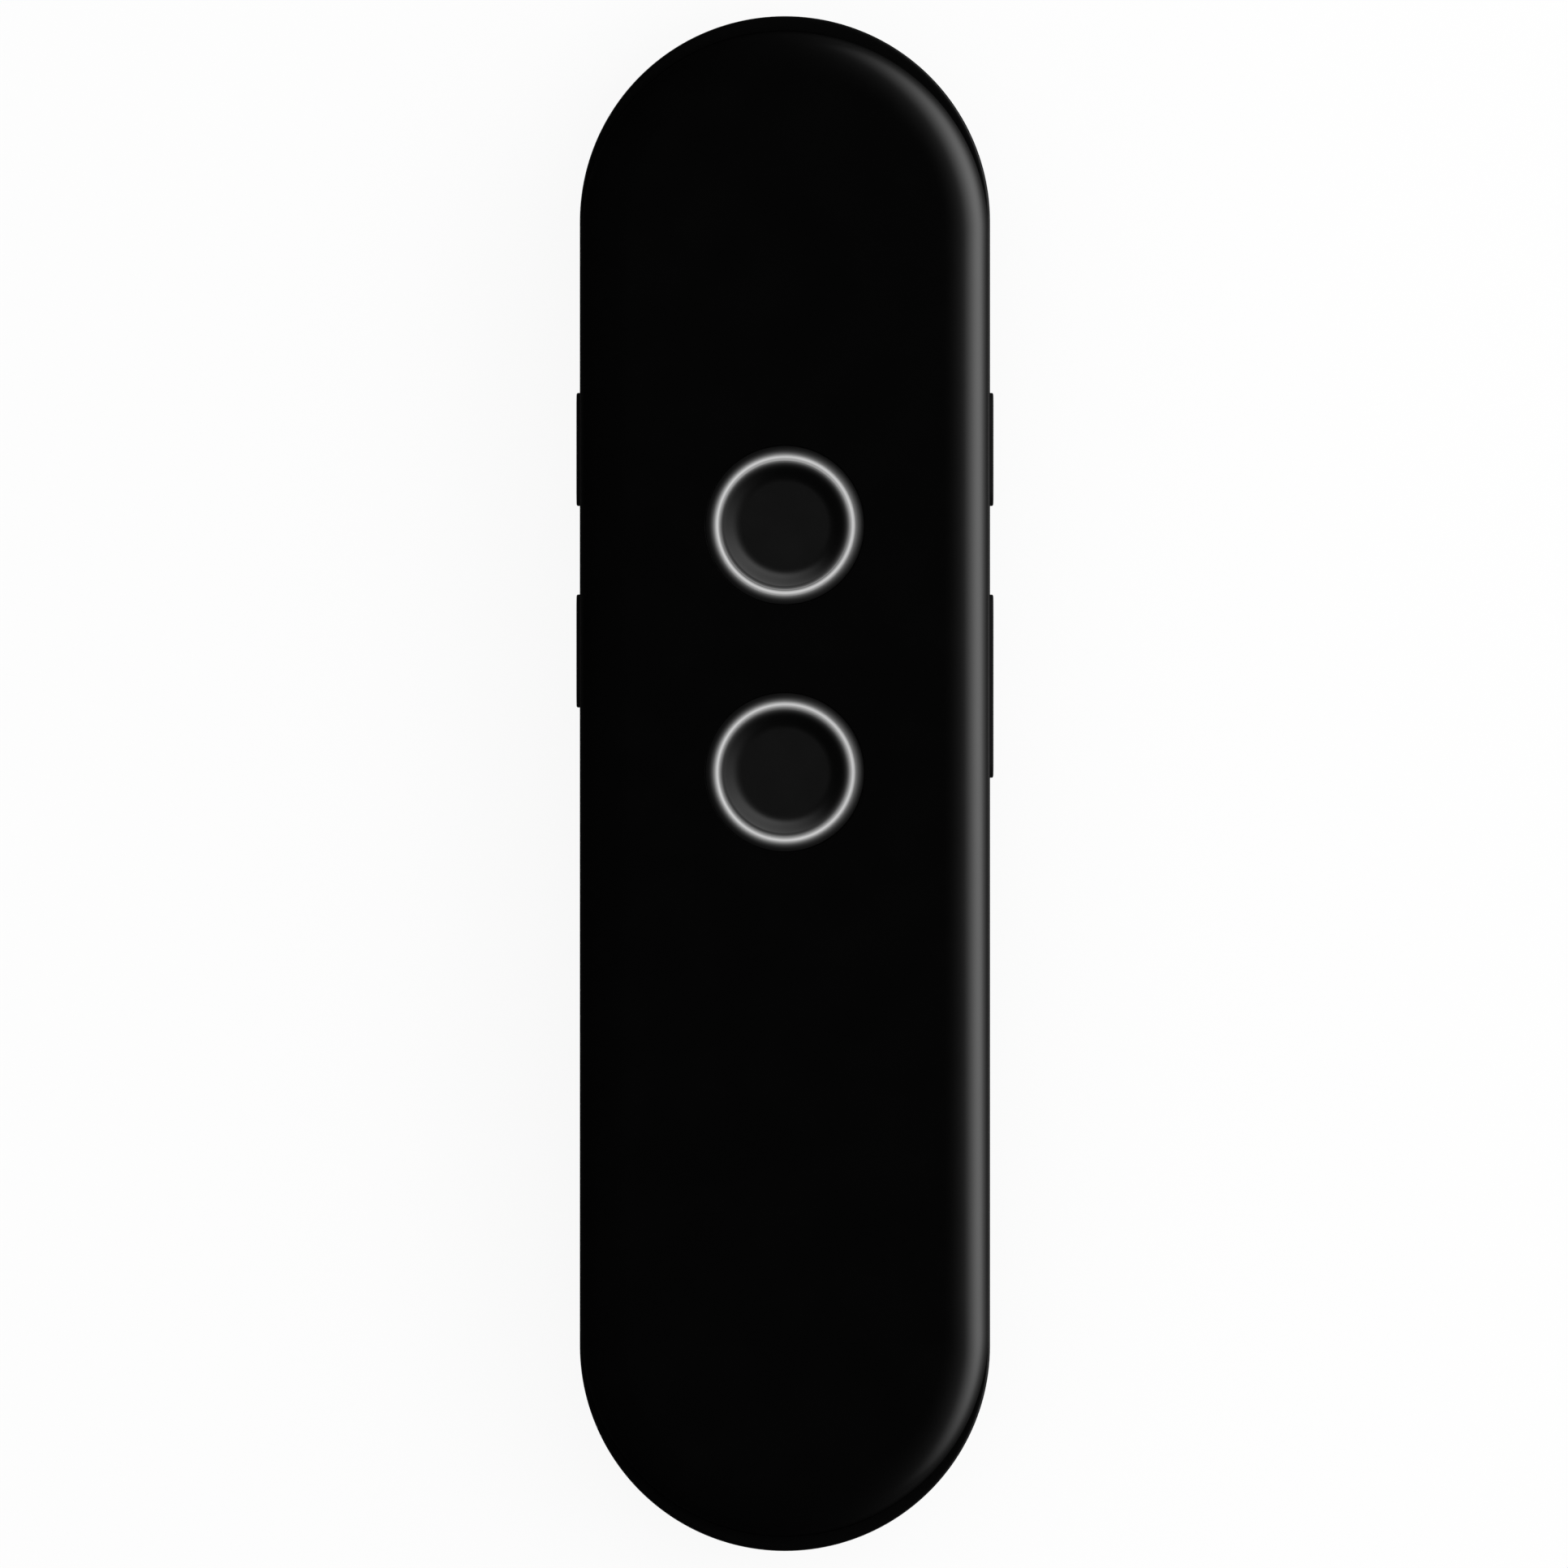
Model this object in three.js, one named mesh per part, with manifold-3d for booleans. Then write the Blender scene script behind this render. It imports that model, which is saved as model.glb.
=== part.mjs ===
// Handheld voice translator: a slim stadium-shaped housing with two dished talk keys in lit rings,
// three push keys and a volume rocker on its sides, and its electronics inside.
// Millimetres. +X is to the right and +Y towards the top end when the front face, +Z, is looked at.
// The origin is the centre of the flat back.

import * as THREE from "three";
import { mergeVertices } from "three/addons/utils/BufferGeometryUtils.js";
import Module from "manifold-3d";

const wasm = await Module();
wasm.setup();

// Overall size
const bodyWidth = 38;
const bodyLength = 142.16;
const bodyThickness = 12;

// Housing: a back cover, a mid frame and a front cover are stacked
const backHeight = 4.4;
const frontHeight = 2.4;
const frameWall = 1.6;
const frontPlate = 1.3;
const backPlate = 1.3;
const frameCrown = 0.2;
const frameCrownHeight = 1;
const coverSideInset = 0.2;
const coverEndInset = 1.4;
const coverEdgeRun = 4.2;
const coverEdgeDrop = 2.05;
const backSideInset = 0.25;
const backEdgeRun = 5;
const backEdgeDrop = 4;
const cavityChamfer = 1.1;
const cavityChamferHeight = 1.4;
const lipWall = 0.6;
const lipHeight = 0.6;
const fitGap = 0.1;

// Snap hooks that hold the front cover in the frame
const snapLength = 6;
const snapReach = 0.35;
const snapHeight = 0.5;
const snapTopInset = 25.08;
const snapBottomInsets = [49.08, 27.08];

// Stiffening ribs under the front cover, beside the battery end
const ribWidth = 0.9;
const ribDepth = 0.9;
const ribSpacing = 18;
const ribKeyGap = 17.05;
const ribEndInset = 11.08;

// Talk keys: a dished cap inside a lit ring inside a black bezel
const talkKeyPitch = 22.82;
const upperTalkKeyInset = 47.21;
const talkKeyRadius = 5.95;
const talkKeyRunning = 0.15;
const talkKeyTravel = 0.35;
const talkKeyRimHeight = 0.1;
const talkKeyRimRound = 0.2;
const dishRadius = 4.1;
const dishDepth = 0.62;
const dishShares = [[0, 0], [0.18, 0.08], [0.5, 0.45], [0.82, 0.88], [1, 1]];
const talkKeyCrown = 1.0;
const talkKeySkirt = 0.95;
const talkKeyFlangeReach = 0.95;
const talkKeyFlangeHeight = 0.6;
const talkKeyPostRadius = 1.5;
const lightRingWall = 0.4;
const lightRingProud = 0.34;
const lightRingFlangeReach = 1.2;
const lightRingFlangeHeight = 0.7;
const bezelWall = 0.75;
const bezelProud = 0.26;
const bezelShares = [[0.35, 0.5], [0.7, 0.88], [1, 1]];
const bezelFlangeReach = 0.65;
const bezelFlangeHeight = 0.8;
const ringGap = 0.05;

// Side keys
const sideKeyHeight = 2.8;
const sideKeyProud = 0.33;
const sideKeyLength = 10.5;
const sideKeyRunning = 0.15;
const sideKeyTravel = 0.22;
const sideKeyTab = 0.8;
const sideKeyTabDepth = 0.7;
const sideKeyEdgeRound = 0.12;
const sideKeyNib = 1.2;
const upperSideKeyInset = 40.08;
const leftLowerKeyInset = 58.78;
const rockerLength = 17;
const rockerInset = 62.04;
const rockerSwitchReach = 5.2;
const rockerHubRadius = 1;
const rockerPinRadius = 0.4;
const rockerPinRunning = 0.06;
const rockerEarWidth = 2.6;
const rockerEarHeight = 0.45;

// Main board
const boardLevel = 5.7;
const boardThickness = 1;
const boardMargin = 1.8;
const boardTopInset = 13.08;
const boardBottomInset = 13.58;
const boardCorner = 6;
const topTongueWidth = 9;
const topTongueInset = 4.28;
const bottomTongueWidth = 13.6;
const bottomTongueInset = 4.68;
const tongueCorner = 1;
const rockerNotchGap = 0.4;

// Screws and the posts and lugs that they join
const screwHeadRadius = 1.6;
const screwHeadHeight = 0.9;
const screwShankRadius = 0.8;
const screwShankLength = 3.6;
const screwTip = 0.5;
const screwCrownShare = 0.7;
const screwSlotLength = 1.8;
const screwSlotWidth = 0.4;
const screwSlotDepth = 0.4;
const screwPilotGap = 0.08;
const screwHoleGap = 0.18;
const postRadius = 2;
const lugRadius = 2.2;
const lugThickness = 1.4;
const lugGap = 1;
const frameScrewInset = 10.08;
const boardScrewEdge = 3.2;
const boardScrewTopInset = 21.08;
const speakerScrewSpacing = 12.5;

// Battery, its tape and its lead
const batterySideRoom = 1.6;
const batteryTopRoom = 48.08;
const batteryScrewRoom = 6.5;
const batteryThickness = 4;
const batteryCorner = 1.5;
const batteryEdgeRound = 0.5;
const batteryFlap = 3;
const batteryFlapHeight = 1.2;
const batteryFlapInset = 1.5;
const tapeThickness = 0.2;
const tapeInset = 3;
const leadRadius = 0.5;
const leadSpacing = 1.6;
const leadRun = 7;
const leadBow = 0.6;
const leadSeat = 0.02;
const leadShares = [[0, 0, 0], [0.1, 0, 0.1], [0.5, 0.5, 1], [0.9, 1, 0.1], [1, 1, 0]];
const speakerLeadShares = [[0, 0], [0.2, 0], [0.7, 1], [1, 1]];
const socketWidth = 5;
const socketLength = 3.6;
const socketHeight = 2.6;
const socketWall = 0.5;
const plugProud = 1.2;
const plugGap = 0.06;
const batteryRibWidth = 1;
const batteryRibHeight = 2.2;
const batteryRibLength = 8;

// Speaker, its gasket, dust mesh and grille
const speakerInset = 25.08;
const speakerWidth = 20;
const speakerHeight = 11;
const speakerDepth = 3;
const speakerCorner = 3;
const speakerConeDepth = 0.6;
const speakerConeMargin = 1.8;
const speakerMagnetRadius = 3.4;
const speakerMagnetRecess = 0.3;
const speakerMagnetGroove = 0.5;
const gasketThickness = 0.6;
const gasketWall = 1.3;
const meshThickness = 0.1;
const meshInset = 0.2;
const grilleWidth = 7;
const grilleRecess = 0.25;
const grilleFlange = 1;
const grilleFlangeThickness = 0.35;
const grilleGap = 0.08;
const grilleHoleRadius = 0.6;
const grillePitch = 2;
const grilleRowCounts = [6, 7, 6];
const speakerPocketGap = 0.2;
const speakerPocketWall = 0.8;
const speakerPocketHeight = 2.9;

// Charging port
const portWidth = 7.5;
const portHeight = 2.8;
const portDepth = 5.6;
const portShell = 0.3;
const portCorner = 0.9;
const portRecess = 0.5;
const portTongueWidth = 3.6;
const portTongueHeight = 0.6;
const portTongueLength = 3.4;
const portBaseDepth = 1.3;
const portWingReach = 1.4;
const portWingLength = 2;
const portWingHeight = 0.25;
const portCutGap = 0.2;

// Microphone and its rubber boot
const micWidth = 3.8;
const micLength = 3;
const micHeight = 1.1;
const micInset = 6.48;
const micHoleRadius = 0.6;
const micHoleLevel = 0.9;
const bootWall = 0.7;
const bootHeight = 2.2;

// Switches under the keys
const talkSwitchWidth = 4.6;
const talkSwitchHeight = 1.5;
const talkSwitchCorner = 0.5;
const plungerRadius = 1.1;
const plungerProud = 0.5;
const plungerDepth = 0.8;
const plungerGap = 0.1;
const plungerFloor = 0.3;
const sideSwitchLength = 4.7;
const sideSwitchDepth = 1.8;
const sideSwitchHeight = 2;
const sideSwitchEdge = 0.05;
const sidePlungerLength = 2.2;
const sidePlungerHeight = 1;
const sidePlungerProud = 0.6;
const sidePlungerDepth = 0.95;

// Other parts on the board
const ledLength = 1.6;
const ledWidth = 0.8;
const ledHeight = 0.6;
const processorSize = 9;
const processorHeight = 0.9;
const processorSpacing = 19.05;
const shieldWidth = 16;
const shieldLength = 11;
const shieldHeight = 1.8;
const shieldWall = 0.25;
const shieldSpacing = 18.13;
const antennaLength = 9;
const antennaWidth = 3;
const antennaHeight = 1.2;
const antennaEdge = 7.6;
const antennaInset = 4.4;
const chipCorner = 0.3;

// Facets
const endSegments = 18;
const edgeSegments = 5;
const ringSegments = 32;
const smallSegments = 10;
const wireSegments = 3;
const cornerSegments = 2;
const roundSegments = 3;
const overrun = 0.5;
const mergeTolerance = 0.0005;

// Levels, places and radii that follow from the sizes above
const endRadius = bodyWidth / 2;
const topEnd = bodyLength / 2;
const bottomEnd = -topEnd;
const coreHalf = topEnd - endRadius;
const frameTop = bodyThickness - frontHeight;
const frameHeight = frameTop - backHeight;
const frameInner = endRadius - frameWall;
const lipOuter = frameInner - fitGap;
const lipInner = lipOuter - lipWall;
const ceiling = bodyThickness - frontPlate;
const sideKeyLevel = (backHeight + frameTop) / 2;
const boardTopLevel = boardLevel + boardThickness;
const boardHalfWidth = frameInner - boardMargin;
const upperTalkKeyY = topEnd - upperTalkKeyInset;
const lowerTalkKeyY = upperTalkKeyY - talkKeyPitch;
const upperSideKeyY = topEnd - upperSideKeyInset;
const leftLowerKeyY = topEnd - leftLowerKeyInset;
const rockerY = topEnd - rockerInset;
const snapPlaces = [topEnd - snapTopInset, ...snapBottomInsets.map((inset) => bottomEnd + inset)];
const ribTop = lowerTalkKeyY - ribKeyGap;
const ribLength = ribTop - bottomEnd - ribEndInset;
const ribCentre = ribTop - ribLength / 2;
const boardTop = topEnd - boardTopInset;
const boardBottom = bottomEnd + boardBottomInset;
const topTongueEnd = topEnd - topTongueInset;
const bottomTongueEnd = bottomEnd + bottomTongueInset;
const speakerY = bottomEnd + speakerInset;
const frameScrewX = bottomTongueWidth / 2 + lugGap + lugRadius;
const frameScrewY = topEnd - frameScrewInset;
const boardScrewX = boardHalfWidth - boardScrewEdge;
const boardScrewPlaces = [topEnd - boardScrewTopInset, speakerY + speakerScrewSpacing];
const grilleLength = speakerWidth - 2 * grilleFlange;
const lightRingInner = talkKeyRadius + talkKeyRunning;
const lightRingOuter = lightRingInner + lightRingWall;
const bezelInner = lightRingOuter + ringGap;
const bezelOuter = bezelInner + bezelWall;
const bezelFlangeLevel = ceiling - bezelFlangeHeight;
const lightFlangeLevel = bezelFlangeLevel - lightRingFlangeHeight;
const talkFlangeTop = lightFlangeLevel - fitGap;
const talkPlungerTop = boardTopLevel + talkSwitchHeight + plungerProud;
const sideKeyInnerFace = frameInner - fitGap - sideKeyTabDepth;
const sideSwitchFace = boardHalfWidth - sideSwitchEdge;
const sidePlungerTip = sideSwitchFace + sidePlungerProud;
const sidePlungerLevel = boardTopLevel + sideSwitchHeight / 2;
const rockerPinX = sideKeyInnerFace - rockerHubRadius / 2;
const portFaceY = bottomEnd + portRecess;
const portBackY = portFaceY + portDepth;
const grilleTop = backPlate + grilleFlangeThickness;
const meshTop = grilleTop + meshThickness;
const gasketTop = meshTop + gasketThickness;
const batteryBase = backPlate + tapeThickness;
const batteryWidth = 2 * (lipInner - cavityChamfer - batterySideRoom);
const batteryStart = speakerY + speakerScrewSpacing + batteryScrewRoom;
const batteryEnd = topEnd - batteryTopRoom;
const batteryLength = batteryEnd - batteryStart;
const batteryY = batteryStart + batteryLength / 2;
const micY = topEnd - micInset;
const processorY = lowerTalkKeyY - processorSpacing;
const shieldY = upperTalkKeyY + shieldSpacing;
const antennaX = -boardHalfWidth + antennaEdge;
const antennaY = boardTop - antennaInset;
const socketStart = batteryEnd + batteryFlap + leadRun;

// Each finish, by its slot name
const finishes = {
  gloss_black: { color: 0x050506, roughness: 0.22, metalness: 0 },
  satin_black: { color: 0x0b0b0c, roughness: 0.42, metalness: 0 },
  key_black: { color: 0x161617, roughness: 0.5, metalness: 0 },
  lit_ring: { color: 0xe9ebee, roughness: 0.35, metalness: 0, emissive: 0x9a9a9e },
  board_green: { color: 0x0d3b24, roughness: 0.5, metalness: 0 },
  plated_steel: { color: 0xb9bcc0, roughness: 0.3, metalness: 1 },
  dark_steel: { color: 0x2a2b2d, roughness: 0.4, metalness: 1 },
  chip_black: { color: 0x1c1c1e, roughness: 0.6, metalness: 0 },
  switch_cream: { color: 0xd8d2c2, roughness: 0.6, metalness: 0 },
  foil_silver: { color: 0xa9adb2, roughness: 0.35, metalness: 0.8 },
  tape_white: { color: 0xe4e3dd, roughness: 0.8, metalness: 0 },
  foam_black: { color: 0x18181a, roughness: 0.95, metalness: 0 },
  rubber_black: { color: 0x141415, roughness: 0.85, metalness: 0 },
  wire_red: { color: 0xa81d18, roughness: 0.5, metalness: 0 },
  wire_black: { color: 0x131313, roughness: 0.5, metalness: 0 },
};
const materials = Object.fromEntries(
  Object.entries(finishes).map(([slot, finish]) => [slot, new THREE.MeshStandardMaterial(finish)]),
);

// A closed geometry as a manifold-3d solid, whichever way round its faces were listed.
function solid(geometry) {
  const bare = new THREE.BufferGeometry().setAttribute("position", geometry.getAttribute("position"));
  bare.setIndex(geometry.index);
  const merged = mergeVertices(bare, mergeTolerance);
  const corners = merged.index.array;
  const kept = [];
  for (let i = 0; i < corners.length; i += 3) {
    const [a, b, c] = [corners[i], corners[i + 1], corners[i + 2]];
    if (a !== b && b !== c && a !== c) kept.push(a, b, c);
  }
  const vertProperties = merged.attributes.position.array;
  const build = (list) =>
    new wasm.Manifold(new wasm.Mesh({ numProp: 3, vertProperties, triVerts: new Uint32Array(list) }));
  const made = build(kept);
  return made.volume() < 0 ? build(kept.reverse()) : made;
}

// A mesh for the scene from a solid, with flat facets.
function node(name, shape, slot) {
  const mesh = shape.getMesh();
  const indexed = new THREE.BufferGeometry();
  indexed.setAttribute("position", new THREE.BufferAttribute(mesh.vertProperties, mesh.numProp));
  indexed.setIndex(new THREE.BufferAttribute(mesh.triVerts, 1));
  const geometry = indexed.toNonIndexed();
  geometry.computeVertexNormals();
  const made = new THREE.Mesh(geometry, materials[slot]);
  made.name = name;
  return made;
}

function union(...shapes) {
  return shapes.reduce((sum, shape) => sum.add(shape));
}

// A profile of [radius, height] points turned round Z.
function turned(profile, segments = ringSegments) {
  const points = [...profile, profile[0]].map(([radius, height]) => new THREE.Vector2(radius, height));
  return solid(new THREE.LatheGeometry(points, segments).rotateX(Math.PI / 2));
}

function cylinder(radius, bottom, top, segments = smallSegments) {
  return turned([[0, bottom], [radius, bottom], [radius, top], [0, top]], segments);
}

// A closed profile turned round Z, with its two halves pulled apart along Y to halfCore each way.
function stadium(profile, halfCore) {
  const around = [];
  for (const end of [1, -1]) {
    for (let i = 0; i <= endSegments; i++) {
      const angle = (Math.PI * i) / endSegments;
      around.push([end * Math.cos(angle), end * Math.sin(angle), end * halfCore]);
    }
  }
  const point = ([radius, height], [x, y, shift]) => [radius * x, radius * y + shift, height];
  const positions = [];
  profile.forEach((low, i) => {
    const high = profile[(i + 1) % profile.length];
    if (low[0] === 0 && high[0] === 0) return;
    around.forEach((here, k) => {
      const next = around[(k + 1) % around.length];
      const corners = [point(low, here), point(low, next), point(high, next), point(high, here)];
      for (const corner of [0, 1, 2, 0, 2, 3]) positions.push(...corners[corner]);
    });
  });
  const geometry = new THREE.BufferGeometry();
  geometry.setAttribute("position", new THREE.Float32BufferAttribute(positions, 3));
  return solid(geometry);
}

function stadiumBlock(radius, halfCore, bottom, top) {
  return stadium([[0, bottom], [radius, bottom], [radius, top], [0, top]], halfCore);
}

// Points of a quarter ellipse from its lowest, outermost point in and up to its flat top.
function ellipseEdge(outer, top, run, drop, steps = edgeSegments) {
  return Array.from({ length: steps + 1 }, (_, i) => {
    const angle = (Math.PI / 2) * (i / steps);
    return [outer - run + run * Math.cos(angle), top - drop + drop * Math.sin(angle)];
  });
}

function roundedRect(width, length, corner, x = 0, y = 0) {
  const [w, l] = [width / 2 - corner, length / 2 - corner];
  const quarter = Math.PI / 2;
  const shape = new THREE.Shape();
  shape.absarc(x + w, y + l, corner, 0, quarter);
  shape.absarc(x - w, y + l, corner, quarter, 2 * quarter);
  shape.absarc(x - w, y - l, corner, 2 * quarter, 3 * quarter);
  shape.absarc(x + w, y - l, corner, 3 * quarter, 4 * quarter);
  shape.closePath();
  return shape;
}

// A shape drawn in X and Y, raised from bottom to top.
function slab(shape, bottom, top, curveSegments = cornerSegments) {
  const settings = { depth: top - bottom, bevelEnabled: false, curveSegments };
  return solid(new THREE.ExtrudeGeometry(shape, settings).translate(0, 0, bottom));
}

function box(low, high) {
  const size = high.map((value, i) => value - low[i]);
  const centre = high.map((value, i) => (value + low[i]) / 2);
  return solid(new THREE.BoxGeometry(...size).translate(...centre));
}

const axisX = new THREE.Vector3(1, 0, 0);
const axisY = new THREE.Vector3(0, 1, 0);
const axisZ = new THREE.Vector3(0, 0, 1);

// Turns a geometry drawn in X and Y and raised along Z so that it is drawn in Y and Z and raised along X.
function alongX(geometry) {
  return geometry.applyMatrix4(new THREE.Matrix4().makeBasis(axisY, axisZ, axisX));
}

// The same for one drawn in X and Z and raised along -Y.
function alongMinusY(geometry) {
  return geometry.applyMatrix4(new THREE.Matrix4().makeBasis(axisX, axisZ, axisY.clone().negate()));
}

// A bar with round ends, as the side keys have, from x = from to x = to on the right side.
function sideBar(length, height, y, from, to, round = 0) {
  const shape = roundedRect(length, height, height / 2);
  const bevel = { bevelThickness: round, bevelSize: round, bevelOffset: -round, bevelSegments: 1 };
  const settings = { depth: to - from - 2 * round, curveSegments: cornerSegments, bevelEnabled: round > 0 };
  const bar = alongX(new THREE.ExtrudeGeometry(shape, { ...settings, ...bevel }));
  return solid(bar.translate(from + round, y, sideKeyLevel));
}

// Mirrors a box given for the right side to the side asked for.
function sideBox(side, low, high) {
  const [a, b] = [side * low[0], side * high[0]];
  return box([Math.min(a, b), low[1], low[2]], [Math.max(a, b), high[1], high[2]]);
}

const sideKeys = [
  { name: "left_upper", side: -1, y: upperSideKeyY },
  { name: "left_lower", side: -1, y: leftLowerKeyY },
  { name: "power", side: 1, y: upperSideKeyY },
];
const sideSwitches = [
  ...sideKeys,
  { name: "volume_up", side: 1, y: rockerY + rockerSwitchReach },
  { name: "volume_down", side: 1, y: rockerY - rockerSwitchReach },
];
const talkKeys = [
  { name: "upper", y: upperTalkKeyY },
  { name: "lower", y: lowerTalkKeyY },
];
const frameScrews = [1, -1].flatMap((end) => [-1, 1].map((side) => [side * frameScrewX, end * frameScrewY]));
const boardScrews = boardScrewPlaces.flatMap((y) => [-1, 1].map((side) => [side * boardScrewX, y]));
const snaps = snapPlaces.flatMap((y) => [-1, 1].map((side) => ({ side, y })));

function at(shape, x, y, z = 0) {
  return shape.translate([x, y, z]);
}

// The front cover: a flat face that rolls over into its edge, with a lip and snap hooks that enter the frame.
function frontCover() {
  const outer = endRadius - coverSideInset;
  const core = coreHalf - (coverEndInset - coverSideInset);
  const edge = ellipseEdge(outer, bodyThickness, coverEdgeRun, coverEdgeDrop);
  const shell = stadium([[0, frameTop], [outer, frameTop], ...edge, [0, bodyThickness]], core);
  const lip = stadiumBlock(lipOuter, coreHalf, frameTop - lipHeight, frameTop + fitGap);
  const cavity = stadiumBlock(lipInner, coreHalf, frameTop - lipHeight - overrun, ceiling);
  let cover = union(shell, lip).subtract(cavity);
  for (const side of [-1, 1]) {
    const x = (side * ribSpacing) / 2;
    const rib = roundedRect(ribWidth, ribLength, ribWidth / 3, x, ribCentre);
    cover = cover.add(slab(rib, ceiling - ribDepth, ceiling + overrun));
  }
  for (const { side, y } of snaps) cover = cover.add(snapHook(side, y));
  for (const { y } of talkKeys) {
    const hole = cylinder(bezelOuter + ringGap, ceiling - overrun, bodyThickness + overrun, ringSegments);
    cover = cover.subtract(at(hole, 0, y));
  }
  return node("front_cover", cover, "gloss_black");
}

// A ramped barb on the outside of the front cover's lip.
function snapHook(side, y) {
  const low = frameTop - lipHeight;
  const root = lipOuter - lipWall / 2;
  const shape = new THREE.Shape([
    new THREE.Vector2(side * root, low),
    new THREE.Vector2(side * lipOuter, low),
    new THREE.Vector2(side * (lipOuter + snapReach), low + snapHeight / 2),
    new THREE.Vector2(side * lipOuter, low + snapHeight),
    new THREE.Vector2(side * root, low + snapHeight),
  ]);
  const settings = { depth: snapLength, bevelEnabled: false };
  return solid(alongMinusY(new THREE.ExtrudeGeometry(shape, settings)).translate(0, y + snapLength / 2, 0));
}

// The mid frame: a crowned band with slots for the side keys, snap pockets, screw lugs and the rocker's ears.
function midFrame() {
  const crown = frameCrown;
  const rise = frameCrownHeight;
  const band = [
    [frameInner, backHeight],
    [endRadius - crown, backHeight],
    [endRadius - crown / 4, backHeight + rise / 2],
    [endRadius, backHeight + rise],
    [endRadius, frameTop - rise],
    [endRadius - crown / 4, frameTop - rise / 2],
    [endRadius - crown, frameTop],
    [frameInner, frameTop],
  ];
  let frame = stadium(band, coreHalf);
  for (const [x, y] of frameScrews) frame = frame.add(lug(x, y));
  const [inside, outside] = [frameInner - overrun, endRadius + overrun];
  const slotHeight = sideKeyHeight + 2 * sideKeyRunning;
  for (const { side, y } of sideKeys) {
    const slot = sideBar(sideKeyLength + 2 * sideKeyRunning, slotHeight, y, inside, outside);
    frame = frame.subtract(side > 0 ? slot : slot.mirror([1, 0, 0]));
  }
  frame = frame.subtract(sideBar(rockerLength + 2 * sideKeyRunning, slotHeight, rockerY, inside, outside));
  for (const up of [-1, 1]) frame = frame.add(rockerEar(up));
  for (const { side, y } of snaps) {
    const half = snapLength / 2 + fitGap;
    const floor = lipOuter + snapReach + fitGap;
    const low = [frameInner - overrun, y - half, frameTop - lipHeight - fitGap];
    frame = frame.subtract(sideBox(side, low, [floor, y + half, frameTop - lipHeight + snapHeight + fitGap]));
  }
  const portCut = portShellShape(-portCutGap);
  frame = frame.subtract(alongPort(portCut, bottomEnd - overrun, bottomEnd + frameWall + overrun));
  const micHole = cylinder(micHoleRadius, 0, frameWall + 2 * overrun).rotate([90, 0, 0]);
  frame = frame.subtract(at(micHole, 0, topEnd + overrun, boardTopLevel + micHoleLevel));
  return node("mid_frame", frame, "satin_black");
}

// A screw lug with a web that runs out to the frame's end wall.
function lug(x, y) {
  const end = Math.sign(y);
  const fromCentre = new THREE.Vector2(x, y - end * coreHalf);
  const web = new THREE.Shape();
  const reach = frameInner + frameWall / 2 - fromCentre.length();
  web.absarc(0, 0, lugRadius, Math.PI / 2, (3 * Math.PI) / 2);
  web.lineTo(reach, -lugRadius);
  web.lineTo(reach, lugRadius);
  web.closePath();
  const settings = { depth: lugThickness, bevelEnabled: false, curveSegments: roundSegments };
  const raised = new THREE.ExtrudeGeometry(web, settings).rotateZ(fromCentre.angle());
  const low = boardTopLevel - lugThickness;
  const hole = cylinder(screwShankRadius + screwHoleGap, low - overrun, boardTopLevel + overrun);
  return solid(raised.translate(x, y, low)).subtract(at(hole, x, y));
}

// One of the two ears that hold the rocker's pin, above and below the rocker's slot.
function rockerEar(up) {
  const near = sideKeyLevel + up * (sideKeyHeight / 2 + sideKeyRunning);
  const far = near + up * rockerEarHeight;
  const [low, high] = [Math.min(near, far), Math.max(near, far)];
  const [from, to] = [rockerPinX - rockerHubRadius, frameInner + frameWall / 2];
  const ear = box([from, rockerY - rockerEarWidth / 2, low], [to, rockerY + rockerEarWidth / 2, high]);
  const hole = cylinder(rockerPinRadius + rockerPinRunning, low - overrun, high + overrun);
  return ear.subtract(at(hole, rockerPinX, rockerY));
}

// The back cover: a shallow tub with the speaker opening, screw posts, and ribs round battery and speaker.
function backCover() {
  const outer = endRadius - backSideInset;
  const edge = ellipseEdge(outer, backHeight, backEdgeRun, backEdgeDrop).map(([r, z]) => [
    r,
    2 * backHeight - backEdgeDrop - z - (backHeight - backEdgeDrop),
  ]);
  const tub = stadium([[0, 0], ...edge.reverse(), [outer, backHeight], [0, backHeight]], coreHalf);
  const lip = stadiumBlock(lipOuter, coreHalf, backHeight - fitGap, backHeight + lipHeight);
  const cavity = stadium(
    [
      [0, backPlate],
      [lipInner - cavityChamfer, backPlate],
      [lipInner, backPlate + cavityChamferHeight],
      [lipInner, backHeight + lipHeight + overrun],
      [0, backHeight + lipHeight + overrun],
    ],
    coreHalf,
  );
  let cover = union(tub, lip).subtract(cavity);
  cover = cover.add(speakerPocket());
  const opening = roundedRect(grilleLength, grilleWidth, grilleWidth / 2, 0, speakerY);
  cover = cover.subtract(slab(opening, -overrun, backPlate + overrun, roundSegments));
  for (const [x, y] of frameScrews) cover = cover.add(post(x, y, boardTopLevel - lugThickness));
  for (const [x, y] of boardScrews) cover = cover.add(post(x, y, boardLevel));
  return node("back_cover", cover.add(batteryRibs()), "satin_black");
}

// The low wall that locates the speaker on the back cover's floor.
function speakerPocket() {
  const [roomX, roomY] = [speakerWidth + 2 * speakerPocketGap, speakerHeight + 2 * speakerPocketGap];
  const [wideX, wideY] = [roomX + 2 * speakerPocketWall, roomY + 2 * speakerPocketWall];
  const outside = roundedRect(wideX, wideY, speakerCorner, 0, speakerY);
  const inside = roundedRect(roomX, roomY, speakerCorner - speakerPocketWall, 0, speakerY);
  const top = backPlate + speakerPocketHeight;
  return slab(outside, backPlate - overrun, top).subtract(slab(inside, backPlate, top + overrun));
}

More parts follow.
